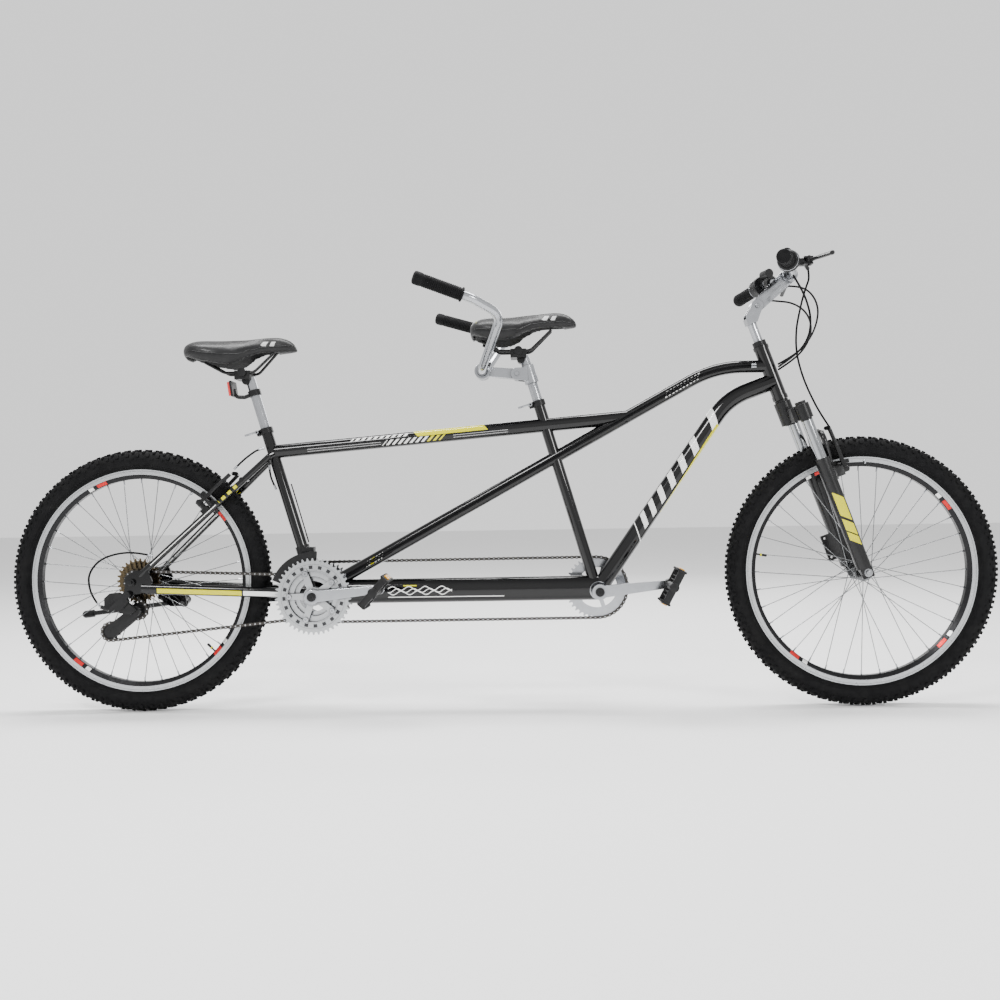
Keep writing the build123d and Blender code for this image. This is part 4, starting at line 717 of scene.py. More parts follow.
def build_tyre(where):
    """Casing with two rows of centre blocks, long shoulder lugs and side knobs."""
    centre = WHEELS[where]
    body = f"{where}_wheel"
    profile = [(RIM_OUTER - 6 * MM, -10.5 * MM), (RIM_OUTER + 0.6 * MM, -11.4 * MM)]
    for step in range(-14, 15):
        radius, offset, _ = casing_point(math.radians(step * 10.5))
        profile.append((radius, offset))
    profile += [(RIM_OUTER + 0.6 * MM, 11.4 * MM), (RIM_OUTER - 6 * MM, 10.5 * MM)]
    casing = lathe(f"{where}_tyre_casing", profile, centre, (0, 1, 0), body, TYRE_RUBBER, 144, True,
                   angle=60)
    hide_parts(f"{where}_tyre")
    step = 2 * math.pi / LUG_COUNT
    rows = (
        ("centre", 0.22, (7.5, 8.0, 4.6), 0.0, 2.3),
        ("middle", 0.62, (8.5, 6.5, 4.4), 0.5, 2.0),
        ("shoulder", 1.03, (11.0, 7.5, 4.0), 0.0, 1.7),
        ("side", 1.42, (5.5, 5.0, 1.8), 0.5, 0.6),
    )
    for name, turn, size, lead, rise in rows:
        places = []
        for index in range(LUG_COUNT):
            for side in (-1, 1):
                shift = lead + (0.5 if side > 0 and name == "centre" else 0.0)
                long = 1.0 + 0.12 * (index % 2)
                radius, offset, normal = casing_point(side * turn)
                place = wheel_place(centre, (index + shift) * step, radius + normal.x * rise * MM,
                                    offset + normal.y * rise * MM, normal)
                places.append(place @ Matrix.Diagonal((long, 1, 1, 1)))
        blocks(f"{where}_tyre_{name}_lugs", places, [value * MM for value in size], body, TYRE_RUBBER,
               LUG_BEVEL)
    build_tyre_ribs(where)


def build_tyre_ribs(where):
    """Two fine raised rings on each sidewall."""
    for number, ring in enumerate(SIDE_RIB_RADII):
        turns = (0, 1.05, 2.09, 3.14, 4.19, 5.24)
        outline = []
        for turn in turns:
            outline.append((
                ring * MM + SIDE_RIB * math.cos(turn), side_offset(ring) + SIDE_RIB * math.sin(turn),
            ))
        for side, label in ((-1, "right"), (1, "left")):
            profile = [(radius, side * offset) for radius, offset in outline]
            lathe(f"{where}_tyre_rib_{label}_{number}", profile, WHEELS[where], (0, 1, 0), f"{where}_wheel",
                  TYRE_RUBBER, 120, True)


def side_offset(radius_mm):
    """Half width of the casing at a radius below its centre."""
    share = (CASING_CENTRE - radius_mm * MM) / CASING_HEIGHT
    return CASING_WIDTH * math.sqrt(max(0.0, 1 - share * share))


def build_rim_details(where):
    """Spoke nipples, and the valve with its cap."""
    centre = WHEELS[where]
    body = f"{where}_wheel"
    dress(rim_paint(where), f"{where}_rim")
    dress(SPOKE_METAL, f"{where}_hub_spokes")
    per_side = SPOKE_COUNT // 2
    spans = []
    for side in (0, 1):
        for index in range(per_side):
            angle = 2 * math.pi * (index + side * 0.5) / per_side
            out = Vector((math.cos(angle), 0, math.sin(angle)))
            foot = centre + Vector((0, (2 * side - 1) * 1.5 * MM, 0))
            spans.append((foot + out * (RIM_INNER - 11 * MM), foot + out * (RIM_INNER + 0.5 * MM)))
    tubes(f"{where}_nipples", spans, 2.0 * MM, body, BRIGHT, 8)
    angle = math.radians(-45 if where == "rear" else 170)
    out = Vector((math.cos(angle), 0, math.sin(angle)))
    foot = centre + out * (RIM_INNER + 1 * MM)
    stem = scaled([(0, 0), (2.2, 0), (2.2, 16), (3.2, 17), (3.2, 27), (2.2, 28), (0, 28)])
    lathe(f"{where}_valve", stem, foot, -out, body, RESIN, 20, False)
    ring = scaled([(3.4, 11), (3.9, 11.5), (3.9, 14.5), (3.4, 15)])
    lathe(f"{where}_valve_ring", ring, foot, -out, body, VALVE_YELLOW, 24, True)


# ---------------------------------------------------------------- chains


def pitch_radius(teeth):
    return CHAIN_PITCH / (2 * math.sin(math.pi / teeth))


def belt(circles):
    """Closed line of (x, z) round circles (x, z, radius, sense), in steps of a few degrees."""
    count = len(circles)
    runs = []
    for index in range(count):
        x1, z1, r1, s1 = circles[index]
        x2, z2, r2, s2 = circles[(index + 1) % count]
        a = s1 * r1
        b = s2 * r2
        dx = x2 - x1
        dz = z2 - z1
        heading = math.atan2(dz, dx) - math.asin((b - a) / math.hypot(dx, dz))
        normal = (math.sin(heading), -math.cos(heading))
        start = (x1 + a * normal[0], z1 + a * normal[1])
        end = (x2 + b * normal[0], z2 + b * normal[1])
        runs.append((start, end, heading))
    line = []
    for index in range(count):
        start, end, heading = runs[index]
        line.extend([start, end])
        next_heading = runs[(index + 1) % count][2]
        x, z, radius, sense = circles[(index + 1) % count]
        sweep = (next_heading - heading) % (2 * math.pi)
        if sense < 0:
            sweep -= 2 * math.pi
        steps = max(2, int(abs(sweep) / math.radians(4)))
        for step in range(1, steps):
            turn = heading + sweep * step / steps
            line.append((x + sense * radius * math.sin(turn), z - sense * radius * math.cos(turn)))
    return line


def spaced(line, pitch):
    """Points an equal distance apart, about a pitch, along a closed line; their number is even."""
    closed = [*line, line[0]]
    lengths = [math.dist(a, b) for a, b in zip(closed, closed[1:])]
    total = sum(lengths)
    count = 2 * round(total / pitch / 2)
    points = []
    index = 0
    passed = 0.0
    for number in range(count):
        target = total * number / count
        while passed + lengths[index] < target:
            passed += lengths[index]
            index += 1
        share = (target - passed) / lengths[index]
        a = closed[index]
        b = closed[index + 1]
        points.append((a[0] + (b[0] - a[0]) * share, a[1] + (b[1] - a[1]) * share))
    return points


def link_outline(start, end, radius, waist):
    """Figure-eight outline round two pins."""
    along = Vector((end[0] - start[0], end[1] - start[1]))
    across = Vector((-along.y, along.x)).normalized()
    direction = along.normalized()
    points = []
    for pin, turns in ((Vector(start), range(60, 301, 30)), (Vector(end), range(-120, 121, 30))):
        for turn in turns:
            angle = math.radians(turn)
            points.append(pin + direction * (radius * math.cos(angle)) + across * (radius * math.sin(angle)))
        if pin == Vector(start):
            points.append(Vector(start) + along / 2 - across * waist)
    points.append(Vector(start) + along / 2 + across * waist)
    return points


def build_chain(name, circles, y):
    """Inner and outer links in turn, with their rollers and pin ends."""
    pins = spaced(belt(circles), CHAIN_PITCH)
    verts = []
    faces = []
    for index, start in enumerate(pins):
        end = pins[(index + 1) % len(pins)]
        outer = index % 2 == 0
        outline = link_outline(start, end, (4.2 if outer else 4.0) * MM, (2.7 if outer else 2.9) * MM)
        low, high = ((3.05, 3.85) if outer else (2.2, 3.0))
        for side in (-1, 1):
            base = len(verts)
            for offset in (low, high):
                verts.extend(Vector((point.x, y + side * offset * MM, point.y)) for point in outline)
            count = len(outline)
            faces.append(tuple(base + i for i in range(count)))
            faces.append(tuple(base + count + i for i in reversed(range(count))))
            for i in range(count):
                after = (i + 1) % count
                faces.append((base + i, base + count + i, base + count + after, base + after))
    plates = built(f"{name}_plates", verts, faces, BODY_OF[name], CHAIN_METAL)
    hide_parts(name)
    half = 2.2 * MM
    rollers = [(Vector((x, y - half, z)), Vector((x, y + half, z))) for x, z in pins]
    tubes(f"{name}_rollers", rollers, 3.6 * MM, BODY_OF[name], CHAIN_METAL, 14)
    reach = 4.1 * MM
    rivets = [(Vector((x, y - reach, z)), Vector((x, y + reach, z))) for x, z in pins]
    tubes(f"{name}_rivets", rivets, 1.7 * MM, BODY_OF[name], CHROME, 10)


def build_chains():
    ring = CRANKS["stoker"]
    cog = WHEELS["rear"]
    guide = joint_at("guide_pulley_turn")
    tension = joint_at("tension_pulley_turn")
    pulley = pitch_radius(PULLEY_TEETH)
    drive = [
        (ring.x, ring.z, pitch_radius(SMALL_RING_TEETH), 1), (cog.x, cog.z, pitch_radius(SMALL_COG_TEETH), 1),
        (guide.x, guide.z, pulley, -1), (tension.x, tension.z, pulley, 1),
    ]
    build_chain("drive_chain", drive, guide.y)
    radius = pitch_radius(TIMING_TEETH)
    timing = [(bb.x, bb.z, radius, 1) for bb in (CRANKS["captain"], CRANKS["stoker"])]
    build_chain("timing_chain", timing, TIMING_Y)


# ---------------------------------------------------------------- saddles

SADDLE_SWELL = 3.0 * MM
SADDLE_VOXEL = 4.0 * MM


def swell(piece):
    """Cloth pressure on a closed mesh, with each point's move capped and kept to the upper skin."""
    rest = [vert.co.copy() for vert in piece.data.vertices]
    normals = [vert.normal.copy() for vert in piece.data.vertices]
    cloth = piece.modifiers.new("stuffing", "CLOTH")
    cloth.settings.use_pressure = True
    cloth.settings.uniform_pressure_force = 4.0
    cloth.settings.effector_weights.gravity = 0.0
    cloth.settings.quality = 4
    cloth.point_cache.frame_start = 1
    cloth.point_cache.frame_end = 20
    for number in range(1, 21):
        bpy.context.scene.frame_set(number)
    shown = piece.evaluated_get(bpy.context.evaluated_depsgraph_get())
    moved = [vert.co.copy() for vert in shown.data.vertices]
    piece.modifiers.remove(cloth)
    bpy.context.scene.frame_set(1)
    for vert, before, after, normal in zip(piece.data.vertices, rest, moved, normals):
        step = after - before
        if step.length > SADDLE_SWELL:
            step = step.normalized() * SADDLE_SWELL
        vert.co = before + step * min(1.0, max(0.0, normal.z + 0.35))


def build_saddle(rider, material):
    """Padded skin over the CAD solid: remeshed, rounded, swelled by cloth pressure, then subdivided."""
    node = f"{rider}_saddle"
    mesh = NODES[node].data.copy()
    mesh.name = f"{node}_skin"
    mesh.materials.clear()
    piece = bpy.data.objects.new(f"{node}_skin", mesh)
    bpy.context.scene.collection.objects.link(piece)
    mesh.materials.append(material)
    shrink = piece.modifiers.new("smaller", "DISPLACE")
    shrink.strength = -1.2 * MM
    shrink.mid_level = 0.0
    remesh = piece.modifiers.new("voxels", "REMESH")
    remesh.mode = "VOXEL"
    remesh.voxel_size = SADDLE_VOXEL
    soften = piece.modifiers.new("soften", "SMOOTH")
    soften.factor = 0.5
    soften.iterations = 6
    bake(piece)
    swell(piece)
    round_off = piece.modifiers.new("surface", "SUBSURF")
    round_off.levels = 1
    round_off.render_levels = 1
    bake(piece)
    piece.data.shade_smooth()
    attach(piece, BODY_OF[node])
    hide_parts(node)
    return piece


def bake(piece):
    """Replaces the piece's mesh with what its modifiers make of it."""
    shown = piece.evaluated_get(bpy.context.evaluated_depsgraph_get())
    mesh = bpy.data.meshes.new_from_object(shown)
    old = piece.data
    name = old.name
    piece.modifiers.clear()
    piece.data = mesh
    bpy.data.meshes.remove(old)
    mesh.name = name


def build_saddle_trim(rider):
    """Welt along the saddle's skirt: a raised cord that follows the skin's lower outer edge."""
    piece = bpy.data.objects[f"{rider}_saddle_skin"]
    verts = piece.data.vertices
    low_x = min(vert.co.x for vert in verts)
    high_x = max(vert.co.x for vert in verts)
    steps = 26
    rows = []
    for index in range(1, steps):
        x = low_x + (high_x - low_x) * index / steps
        near = [vert.co for vert in verts if abs(vert.co.x - x) < 3.5 * MM]
        widest = max(near, key=lambda point: -point.y)
        rows.append(Vector((x, widest.y, widest.z)))
    loop = rows + [Vector((point.x, -point.y, point.z)) for point in reversed(rows)]
    welt = cable_curve(f"{rider}_saddle_welt", loop, 1.1 * MM, cyclic=True)
    welt.data.materials.append(SATIN_BLACK)
    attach(welt, BODY_OF[f"{rider}_saddle"])


# ---------------------------------------------------------------- grips, shifters and pedals

BAR_ENDS = {
    "front": (Vector((722, 120, 1090)) * MM, Vector((675, 256, 1072)) * MM, 90 * MM, 17 * MM),
    "stoker": (Vector((-36, 228, 1000)) * MM, Vector((-163, 266, 1043)) * MM, 116 * MM, 16 * MM),
}
SHIFTER_LENGTH = 34 * MM


def mirrored(point, side):
    return Vector((point.x, side * point.y, point.z))


def build_grips(where, node, body):
    """Soft grips: a flange, ribs along the hold, and a domed end."""
    before, end, length, radius = BAR_ENDS[where]
    bore = 11.3 * MM
    for side, label in ((-1, "right"), (1, "left")):
        outer_end = mirrored(end, side)
        axis = (outer_end - mirrored(before, side)).normalized()
        start = outer_end - axis * length
        flange = radius + 1.5 * MM
        profile = [(bore, 0), (flange, 0), (flange, 3 * MM), (radius - 1.5 * MM, 5 * MM)]
        ribs = int((length - 22 * MM) / (4.5 * MM))
        for index in range(ribs):
            at = 7 * MM + index * 4.5 * MM
            profile += [(radius - 1.6 * MM, at), (radius - 0.4 * MM, at + 1.0 * MM),
                        (radius - 0.4 * MM, at + 2.8 * MM), (radius - 1.6 * MM, at + 3.8 * MM)]
        tail = length - 12 * MM
        profile += [(radius, tail), (radius, tail + 12 * MM), (radius - 1.5 * MM, tail + 15.5 * MM),
                    (radius - 6 * MM, tail + 17.5 * MM), (0, tail + 18 * MM)]
        profile += [(0, tail + 13 * MM), (bore, tail + 12.5 * MM)]
        grip = lathe(f"{where}_grip_{label}", profile, start, axis, body, GRIP_RUBBER, 40, True,
                     angle=40)
        if side < 0:
            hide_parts(node)


def shifter_ripple(angle, along):
    """Share of the radius left at an angle: eighteen shallow flutes along the barrel's middle."""
    return 1.0 - 0.035 * (math.cos(angle * 18) > 0.2) * (9 * MM < along < 28 * MM)


def build_shifters():
    """Twist shifters: a fluted turning barrel with a smooth collar and a bright ring."""
    before, end, grip_length, _ = BAR_ENDS["front"]
    for side, label in ((-1, "right"), (1, "left")):
        outer_end = mirrored(end, side)
        axis = (outer_end - mirrored(before, side)).normalized()
        start = outer_end - axis * (grip_length + SHIFTER_LENGTH + 0.3 * MM)
        profile = scaled([
            (11.3, 0), (24.5, 0), (26, 1.5), (26, 8), (24.6, 9), (24.6, 10), (24.6, 14), (24.6, 18),
            (24.6, 22), (24.6, 27), (24.0, 29), (22, 33), (20.5, 34), (11.3, 34),
        ])
        node = f"twist_shifter_{label}"
        body = BODY_OF[node]
        barrel = lathe(f"{node}_barrel", profile, start, axis, body, DIAL_BLACK, 144, True,
                       ripple=shifter_ripple)
        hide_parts(node)
        ring = scaled([(24.6, 28.6), (24.9, 28.9), (24.9, 29.6), (24.2, 29.9)])
        lathe(f"{node}_ring_0", ring, start, axis, body, BRIGHT, 64, True)


PEDAL_WIDTH = 88
PEDAL_REACH = 92
PEDAL_TILT = {"captain_right": 62, "stoker_right": 48, "captain_left": 8, "stoker_left": 8}


def build_pedal(rider, side_name):
    """Resin platform: an axle barrel, toothed cage plates, ribs between them, and amber reflectors."""
    node = f"{rider}_pedal_{side_name}"
    body = BODY_OF[node]
    side = -1 if side_name == "right" else 1
    centre = joint_at(f"{rider}_{side_name}_pedal_spin")
    tilt = math.radians(PEDAL_TILT[f"{rider}_{side_name}"])
    reach = Vector((math.cos(tilt), 0, math.sin(tilt)))
    up = Vector((-math.sin(tilt), 0, math.cos(tilt)))
    middle = Vector((centre.x, side * 134 * MM, centre.z))
    out = Vector((0, side, 0))

    def place(forward, across, height):
        return turned(middle + reach * forward + out * across + up * height, reach, up)

    def resin(part, places, size, bevel, material=RESIN):
        size = [length * MM for length in size]
        return blocks(f"{node}_{part}", places, size, body, material, bevel * MM)

    half = PEDAL_REACH * MM / 2
    rails = [place(sign * (half - 3.5 * MM), 0, 0) for sign in (-1, 1)]
    cage = resin("rails", rails, (6, PEDAL_WIDTH, 20), 1.6)
    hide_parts(node)
    ends = [place(0, across, 0) for across in (-40 * MM, 40 * MM)]
    resin("ends", ends, (PEDAL_REACH - 10, 7, 17), 1.5)
    ribs = [place(forward, 0, 0) for forward in (-26 * MM, -16 * MM, 16 * MM, 26 * MM)]
    resin("ribs", ribs, (2.4, PEDAL_WIDTH - 12, 12), 0.4)
    teeth = []
    for sign in (-1, 1):
        for index in range(8):
            across = (index - 3.5) * 10.5 * MM
            for lift in (-1, 1):
                teeth.append(place(sign * (half - 3.5 * MM), across, lift * 10.4 * MM))
    resin("teeth", teeth, (4.5, 4.2, 3.2), 0.6)
    start = middle - out * 49 * MM
    barrel = scaled([
        (0, 0), (6.4, 0), (12.5, 0), (12.5, 8), (10, 12), (10, 84), (11.5, 88), (11.5, 95), (8, 97), (0, 97),
    ])
    lathe(f"{node}_barrel", barrel, start, out, body, RESIN, 32, False)
    axle = scaled([(0, -17), (7.5, -17), (7.5, -3), (6, -2), (6, 1), (0, 1)])
    lathe(f"{node}_axle", axle, start, out, body, CHROME, 24, False)
    lights = [place(sign * (half + 0.8 * MM), 0, 0) for sign in (-1, 1)]
    resin("reflectors", lights, (2.6, 50, 13), 0.6, AMBER_LENS)


# ---------------------------------------------------------------- cables

LOOP_ROUTES = {
    "front_brake": [
        (771.5, -97.5, 1076.5), (776, -92, 1056), (771, -84, 1040), (764, -70, 1010), (757.5, -58, 972),
        (753.8, -45, 938), (755.4, -36, 883), (772, -33, 821), (795, -33, 767), (817, -32, 726),
        (838, -28, 696),
    ],
    "right_shift": [
        (722, -150, 1052), (742, -138, 1026), (764, -112, 996), (781, -84, 958), (781, -60, 916),
        (757, -38, 879), (714, -23, 851),
    ],
    "left_brake": [
        (771.5, 97.5, 1076.5), (800, 82, 1072), (824, 70, 1052), (836, 54, 1016), (830, 38, 976),
        (808, 18, 930), (768, -6, 886), (714, -23, 858),
    ],
    "left_shift": [
        (722, 150, 1052), (750, 138, 1046), (786, 112, 1036), (812, 78, 1006), (818, 46, 962),
        (798, 12, 914), (760, -16, 872), (714, -23, 844),
    ],
}
FRAME_ROUTES = {
    "rear_brake_tail": [
        (-588, -17, 672), (-604, -17, 669), (-622, -16, 658), (-645, -15, 641), (-667, -15, 620),
    ],
    "rear_loop": [
        (-858, -76, 404), (-896, -80, 414), (-942, -83, 413), (-990, -85, 398), (-1019, -86, 362),
        (-1017, -86, 325), (-1004, -86, 296), (-990.5, -85, 279.5),
    ],
    "seat_tube_rear": [(-578.8, -4, 630), (-577.5, -4, 608), (-571.7, -4, 588), (-561.5, -4, 566)],
    "seat_tube_front": [(-523.5, 0, 580), (-501.8, 0, 506), (-480, -3, 430)],
    "lateral_upper": [
        (-392, -20.8, 341.6), (60, -20.8, 587.4), (438, -20.8, 793.1), (559.3, -20.8, 859), (660, -20.8, 859),
    ],
    "lateral_lower": [
        (-392, -20.8, 335.6), (60, -20.8, 581.4), (438, -20.8, 787.1), (559.3, -20.8, 853), (660, -20.8, 853),
    ],
}


def cable_curve(name, points, radius, cyclic=False):
    """Smooth round line with the points as its control points."""
    curve = bpy.data.curves.new(name, "CURVE")
    curve.dimensions = "3D"
    curve.bevel_depth = radius
    curve.bevel_resolution = 3
    curve.resolution_u = 12
    curve.use_fill_caps = not cyclic
    spline = curve.splines.new("NURBS")
    spline.points.add(len(points) - 1)
    for control, point in zip(spline.points, points):
        control.co = (*point, 1)
    spline.use_cyclic_u = cyclic
    spline.use_endpoint_u = not cyclic
    spline.order_u = 3
    piece = bpy.data.objects.new(name, curve)
    bpy.context.scene.collection.objects.link(piece)
    return piece


def as_mesh(piece, material):
    """Turns a curve object into a mesh object of the same name."""
    shown = piece.evaluated_get(bpy.context.evaluated_depsgraph_get())
    mesh = bpy.data.meshes.new_from_object(shown)
    name = piece.name
    bpy.data.objects.remove(piece)
    mesh.name = name
    mesh.materials.clear()
    mesh.materials.append(material)
    mesh.shade_smooth()
    made = bpy.data.objects.new(name, mesh)
    bpy.context.scene.collection.objects.link(made)
    return made


def half_of(piece, name, height, keep_upper):
    """The part of a cable above or below a height."""
    work = bmesh.new()
    work.from_mesh(piece.data)
    bmesh.ops.bisect_plane(
        work, geom=[*work.verts, *work.edges, *work.faces], plane_co=(0, 0, height), plane_no=(0, 0, 1),
        clear_outer=not keep_upper, clear_inner=keep_upper,
    )
    mesh = bpy.data.meshes.new(name)
    work.to_mesh(mesh)
    work.free()
    for material in piece.data.materials:
        mesh.materials.append(material)
    made = bpy.data.objects.new(name, mesh)
    bpy.context.scene.collection.objects.link(made)
    return made


def build_loop_cables():
    """Each loop cable is cut at the height halfway between its ends into an upper and a lower half."""
    first = None
    for name, route in LOOP_ROUTES.items():
        points = [Vector(point) * MM for point in route]
        whole = as_mesh(cable_curve(f"{name}_cable", points, HOUSING_RADIUS), HOUSING)
        split = (points[0].z * 0.5 + points[-1].z * 0.5)
        upper = half_of(whole, f"{name}_cable_upper", split, True)
        lower = half_of(whole, f"{name}_cable_lower", split, False)
        bpy.data.objects.remove(whole)
        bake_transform(upper)
        if name == "front_brake":
            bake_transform(lower)
        else:
            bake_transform(lower)
        first = first or upper
    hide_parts("loop_cables")


def build_frame_cables():
    """Housings that the frame holds, with a metal ferrule on each end; the bare wire has none."""
    first = None
    for name, route in FRAME_ROUTES.items():
        radius = 1.6 * MM if name == "seat_tube_front" else HOUSING_RADIUS
        piece = cable_curve(f"{name}_cable", [Vector(point) * MM for point in route], radius)
        piece.data.materials.append(HOUSING)
        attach(piece, "frame")
        first = first or piece
        ends = [(route[0], route[1]), (route[-1], route[-2])]
        spans = []
        for tip, inner in ends:
            direction = (Vector(inner) - Vector(tip)).normalized()
            spans.append((Vector(tip) * MM, (Vector(tip) + direction * 12) * MM))
        if name != "seat_tube_front":
            tubes(f"{name}_ferrules", spans, HOUSING_RADIUS + 0.5 * MM, "frame", CHROME, 16)
    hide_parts("frame_cables")


# ---------------------------------------------------------------- CAD nodes that stay in sight


def dress_frame():
    dress(PAINT, "head_tube", "captain_seat_tube", "stoker_seat_tube")
    dress(top_tube_paint(), "top_tube")
    dress(lateral_paint(), "lateral_tube")
    dress(down_tube_paint(), "down_tube")
    dress(boom_paint(), "boom_tube")
    dress(seat_stay_paint(), "seat_stays")
    dress(chain_stay_paint(), "chain_stays")
    dress(CHROME, "bottom_brackets")
    dress(COG_METAL, "freewheel")
    dress(ring_paint("stoker", 0.0690, 0.0780, 20), "chainrings")
    dress(RESIN, "guide_pulley", "tension_pulley")
    dress(BRIGHT, "handlebar", "stoker_handlebar")


def lens_like(centre, size):
    """True of the reflector's thin upright lens."""
    return centre.x < -0.64 and size.z < 0.045 and size.x < 0.02 and size.y > 0.03


def stem_collar(centre, size):
    """True of the collar that holds the rear rider's stem, below the saddle's clamp."""
    return centre.z < 0.87 and size.z < 0.06


def post_like(_centre, size):
    """True of the long tube itself."""
    return size.z > 0.12


def build_rounded():
    """Machined and cast CAD pieces with softened edges."""
    for rider in ("captain", "stoker"):
        rounded(f"{rider}_crankset", BRIGHT, 2.0 * MM, ())
        rules = [(BRIGHT, post_like), (BRIGHT, stem_collar)]
        if rider == "stoker":
            rules = [(BRIGHT, post_like), (RED_LENS, lens_like)]
        rounded(f"{rider}_post", SATIN_BLACK, 0.8 * MM, rules)
        rounded(f"{rider}_collar_lever", CHROME, 0.8 * MM, ())
    for node in ("quill_stem", "stem_extension", "stoker_stem"):
        rounded(node, BRIGHT, 1.4 * MM, ())
    for side in ("right", "left"):
        rounded(f"brake_lever_{side}", SATIN_BLACK, 1.6 * MM, ())
        for end in ("front", "rear"):
            rounded(f"{end}_brake_arm_{side}", SATIN_BLACK, 1.2 * MM, ())
    rounded("lever_mounts", SATIN_BLACK, 1.5 * MM, ())
    rounded("seat_collars", SATIN_BLACK, 0.8 * MM, ())
    rounded("dropouts", PAINT, 0.8 * MM, ())
    rounded("kickstand", SATIN_BLACK, 1.0 * MM, ())
    rounded("rear_derailleur", SATIN_BLACK, 0.8 * MM, ())
    rounded("front_derailleur", SATIN_BLACK, 0.8 * MM, ())
    rounded("front_axle", CHROME, 0.8 * MM, ())
    rounded("fork_lowers", fork_paint(), 1.6 * MM, ())
    rounded("fork_crown", crown_paint(), 1.2 * MM, ())


# ---------------------------------------------------------------- small parts


def build_crank_caps():
    """Dust caps over the crank bolts, and the chainring's five bolts."""
    for rider in ("captain", "stoker"):
        centre = CRANKS[rider]
        for side, label in ((-1, "right"), (1, "left")):
            cap = scaled([(0, 0), (11, 0), (11, 1.2), (9.5, 2.4), (4.5, 2.8), (4.0, 2.0), (0, 2.0)])
            lathe(f"{rider}_crank_cap_{label}", cap, centre + Vector((0, side * 83.8 * MM, 0)), (0, side, 0),
                  BODY_OF[f"{rider}_crankset"], SATIN_BLACK, 32, False)
    ring_y = -67 * MM
    for index in range(5):
        angle = math.radians(36 + 72 * index)
        place = CRANKS["stoker"] + Vector((math.cos(angle) * 60 * MM, ring_y, -math.sin(angle) * 60 * MM))
        bolt = scaled([(0, 0), (6.5, 0), (6.5, 1.4), (5.6, 2.2), (2.6, 2.2), (2.6, 0.9), (0, 0.9)])
        lathe(f"ring_bolt_{index}", bolt, place, (0, -1, 0), BODY_OF["chainrings"], CHROME, 24, False)


def build_bolts():
    """Hex-socket bolts of the stems and brake arms."""
    socket_bolt = scaled([(0, 0), (4.8, 0), (4.8, 3.4), (4.2, 4.2), (2.5, 4.2), (2.5, 1.8), (0, 1.8)])
    pivots = (
        ("stem_pivot", joint_at("stem_angle"), 16.5, "stem_extension"),
        ("stoker_stem_pivot", joint_at("stoker_stem_angle"), 17.0, "stoker_stem"),
    )
    for name, centre, half, node in pivots:
        for side, label in ((-1, "right"), (1, "left")):
            place = centre + Vector((0, side * half * MM, 0))
            lathe(f"{name}_bolt_{label}", socket_bolt, place, (0, side, 0), BODY_OF[node], CHROME, 24, False)
    for end, outward, reach in (("front", FORK_FORWARD, 54), ("rear", stay_out(), 34)):
        for label in ("right", "left"):
            place = joint_at(f"{end}_brake_{label}") + outward * reach * MM
            body = BODY_OF[f"{end}_brake_arm_{label}"]
            lathe(f"{end}_stud_bolt_{label}", socket_bolt, place, outward, body, CHROME, 24, False)


def stay_out():
    """Direction square to the seat stays, up and back."""
    return joint_axis("rear_brake_right")


def build_brake_links():
    """The wire that joins each pair of brake arms, with its rubber boot."""
    brake_link("front", WHEELS["front"] + FORK_FORWARD * 52 * MM, FORK_UP, "lowers")
    out = stay_out()
    brake_link("rear", WHEELS["rear"] + out * 31 * MM, Vector((out.z, 0, -out.x)), "frame")


def brake_link(end, foot, up, body):
    """Wire across the arms' tops with a concertina boot on it."""
    top = foot + up * (BRAKE_ARM_TOP + 3 * MM)
    right = top - Vector((0, 33 * MM, 0))
    left = top + Vector((0, 33 * MM, 0))
    tubes(f"{end}_link_wire", [(right, left)], 0.8 * MM, body, SPOKE_METAL, 10)
    profile = [(1.6, 0)]
    for index in range(7):
        at = 1.0 + index * 4.0
        profile += [(2.6, at), (5.2, at + 1.6), (2.6, at + 3.2)]
    boot = scaled([*profile, (1.6, 30)])
    lathe(f"{end}_link_boot", boot, right + Vector((0, 18 * MM, 0)), (0, 1, 0), body, GRIP_RUBBER, 28, False,
          angle=60)


# ---------------------------------------------------------------- assembly

dress_frame()
build_rounded()
for where in ("front", "rear"):
    build_tyre(where)
    build_rim_details(where)
build_chains()
for rider, cover in (("captain", captain_cover()), ("stoker", stoker_cover())):
    build_saddle(rider, cover)
    build_saddle_trim(rider)
build_grips("front", "grips", "bars")
build_grips("stoker", "stoker_grips", "stoker_bars")
build_shifters()
for rider in ("captain", "stoker"):
    for side_name in ("right", "left"):
        build_pedal(rider, side_name)
build_crank_caps()
build_bolts()
build_brake_links()
build_loop_cables()
build_frame_cables()

# ---------------------------------------------------------------- floor, light and camera


FLOOR_SIZE = 28.0


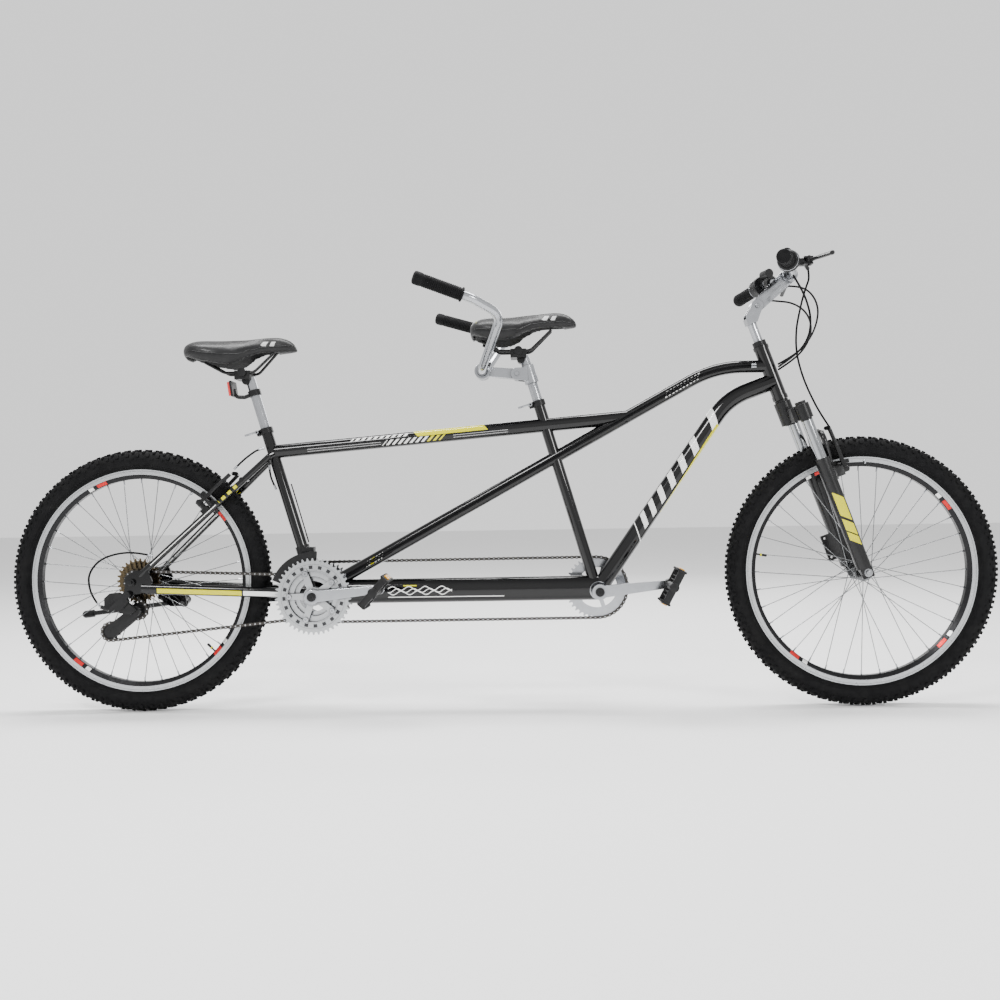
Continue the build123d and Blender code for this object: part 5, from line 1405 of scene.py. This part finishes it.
def build_stage():
    """Pale flat floor under a white sky that is a little darker overhead."""
    mesh = bpy.data.meshes.new("floor")
    half = FLOOR_SIZE / 2
    corners = [(-half, -half, 0), (half, -half, 0), (half, half, 0), (-half, half, 0)]
    mesh.from_pydata(corners, [], [(0, 1, 2, 3)])
    mesh.materials.append(Surface("floor_white", (0.97, 0.97, 0.97), 0.9).material)
    floor = bpy.data.objects.new("floor", mesh)
    bpy.context.scene.collection.objects.link(floor)
    world = bpy.data.worlds.new("studio")
    world.use_nodes = True
    nodes = world.node_tree.nodes
    links = world.node_tree.links
    direction = nodes.new("ShaderNodeTexCoord")
    split = nodes.new("ShaderNodeSeparateXYZ")
    fade = nodes.new("ShaderNodeMapRange")
    links.new(direction.outputs["Generated"], split.inputs[0])
    links.new(split.outputs["Z"], fade.inputs["Value"])
    for socket, number in zip(RANGE_SOCKETS, (0.45, 0.95, 1.2, 0.6)):
        fade.inputs[socket].default_value = number
    links.new(fade.outputs["Result"], nodes["Background"].inputs["Strength"])
    nodes["Background"].inputs["Color"].default_value = (1.0, 1.0, 1.0, 1)
    bpy.context.scene.world = world


def area_light(name, place, target, width, height, power):
    light = bpy.data.lights.new(name, "AREA")
    light.shape = "RECTANGLE"
    light.size = width
    light.size_y = height
    light.energy = power
    lamp = bpy.data.objects.new(name, light)
    lamp.location = place
    lamp.rotation_euler = (Vector(target) - Vector(place)).to_track_quat("-Z", "Y").to_euler()
    bpy.context.scene.collection.objects.link(lamp)


def build_lights():
    middle = (0, 0, 0.6)
    area_light("key", (-1.8, -3.2, 3.4), middle, 1.6, 0.5, 120)
    area_light("fill", (2.6, -2.8, 1.6), middle, 1.0, 0.5, 40)
    area_light("top", (0, 0.4, 3.6), middle, 4.0, 0.8, 220)
    area_light("back", (0.4, 3.4, 2.2), middle, 3.6, 0.6, 50)


CAMERA_PLACE = Vector((115.8, -2540.1, 535.2)) * MM
CAMERA_LENS = 35.91
CAMERA_YAW = math.radians(2.3256)
CAMERA_PITCH = math.radians(-0.1153)
CAMERA_ROLL = math.radians(-0.9469)


def build_camera():
    """Camera on the bicycle's right side, a little ahead of its middle."""
    camera = bpy.data.cameras.new("camera")
    camera.lens = CAMERA_LENS
    camera.sensor_width = 36.0
    camera.clip_start = 0.05
    piece = bpy.data.objects.new("camera", camera)
    bpy.context.scene.collection.objects.link(piece)
    right = Vector((1, 0, 0))
    up = Vector((0, -math.sin(CAMERA_PITCH), math.cos(CAMERA_PITCH)))
    forward = Vector((0, math.cos(CAMERA_PITCH), math.sin(CAMERA_PITCH)))
    rolled_right = right * math.cos(CAMERA_ROLL) + up * math.sin(CAMERA_ROLL)
    rolled_up = up * math.cos(CAMERA_ROLL) - right * math.sin(CAMERA_ROLL)
    yaw = Matrix.Rotation(CAMERA_YAW, 3, "Z")
    columns = Matrix((yaw @ rolled_right, yaw @ rolled_up, -(yaw @ forward))).transposed()
    piece.matrix_world = Matrix.Translation(CAMERA_PLACE) @ columns.to_4x4()
    bpy.context.scene.camera = piece


build_stage()
build_lights()
build_camera()
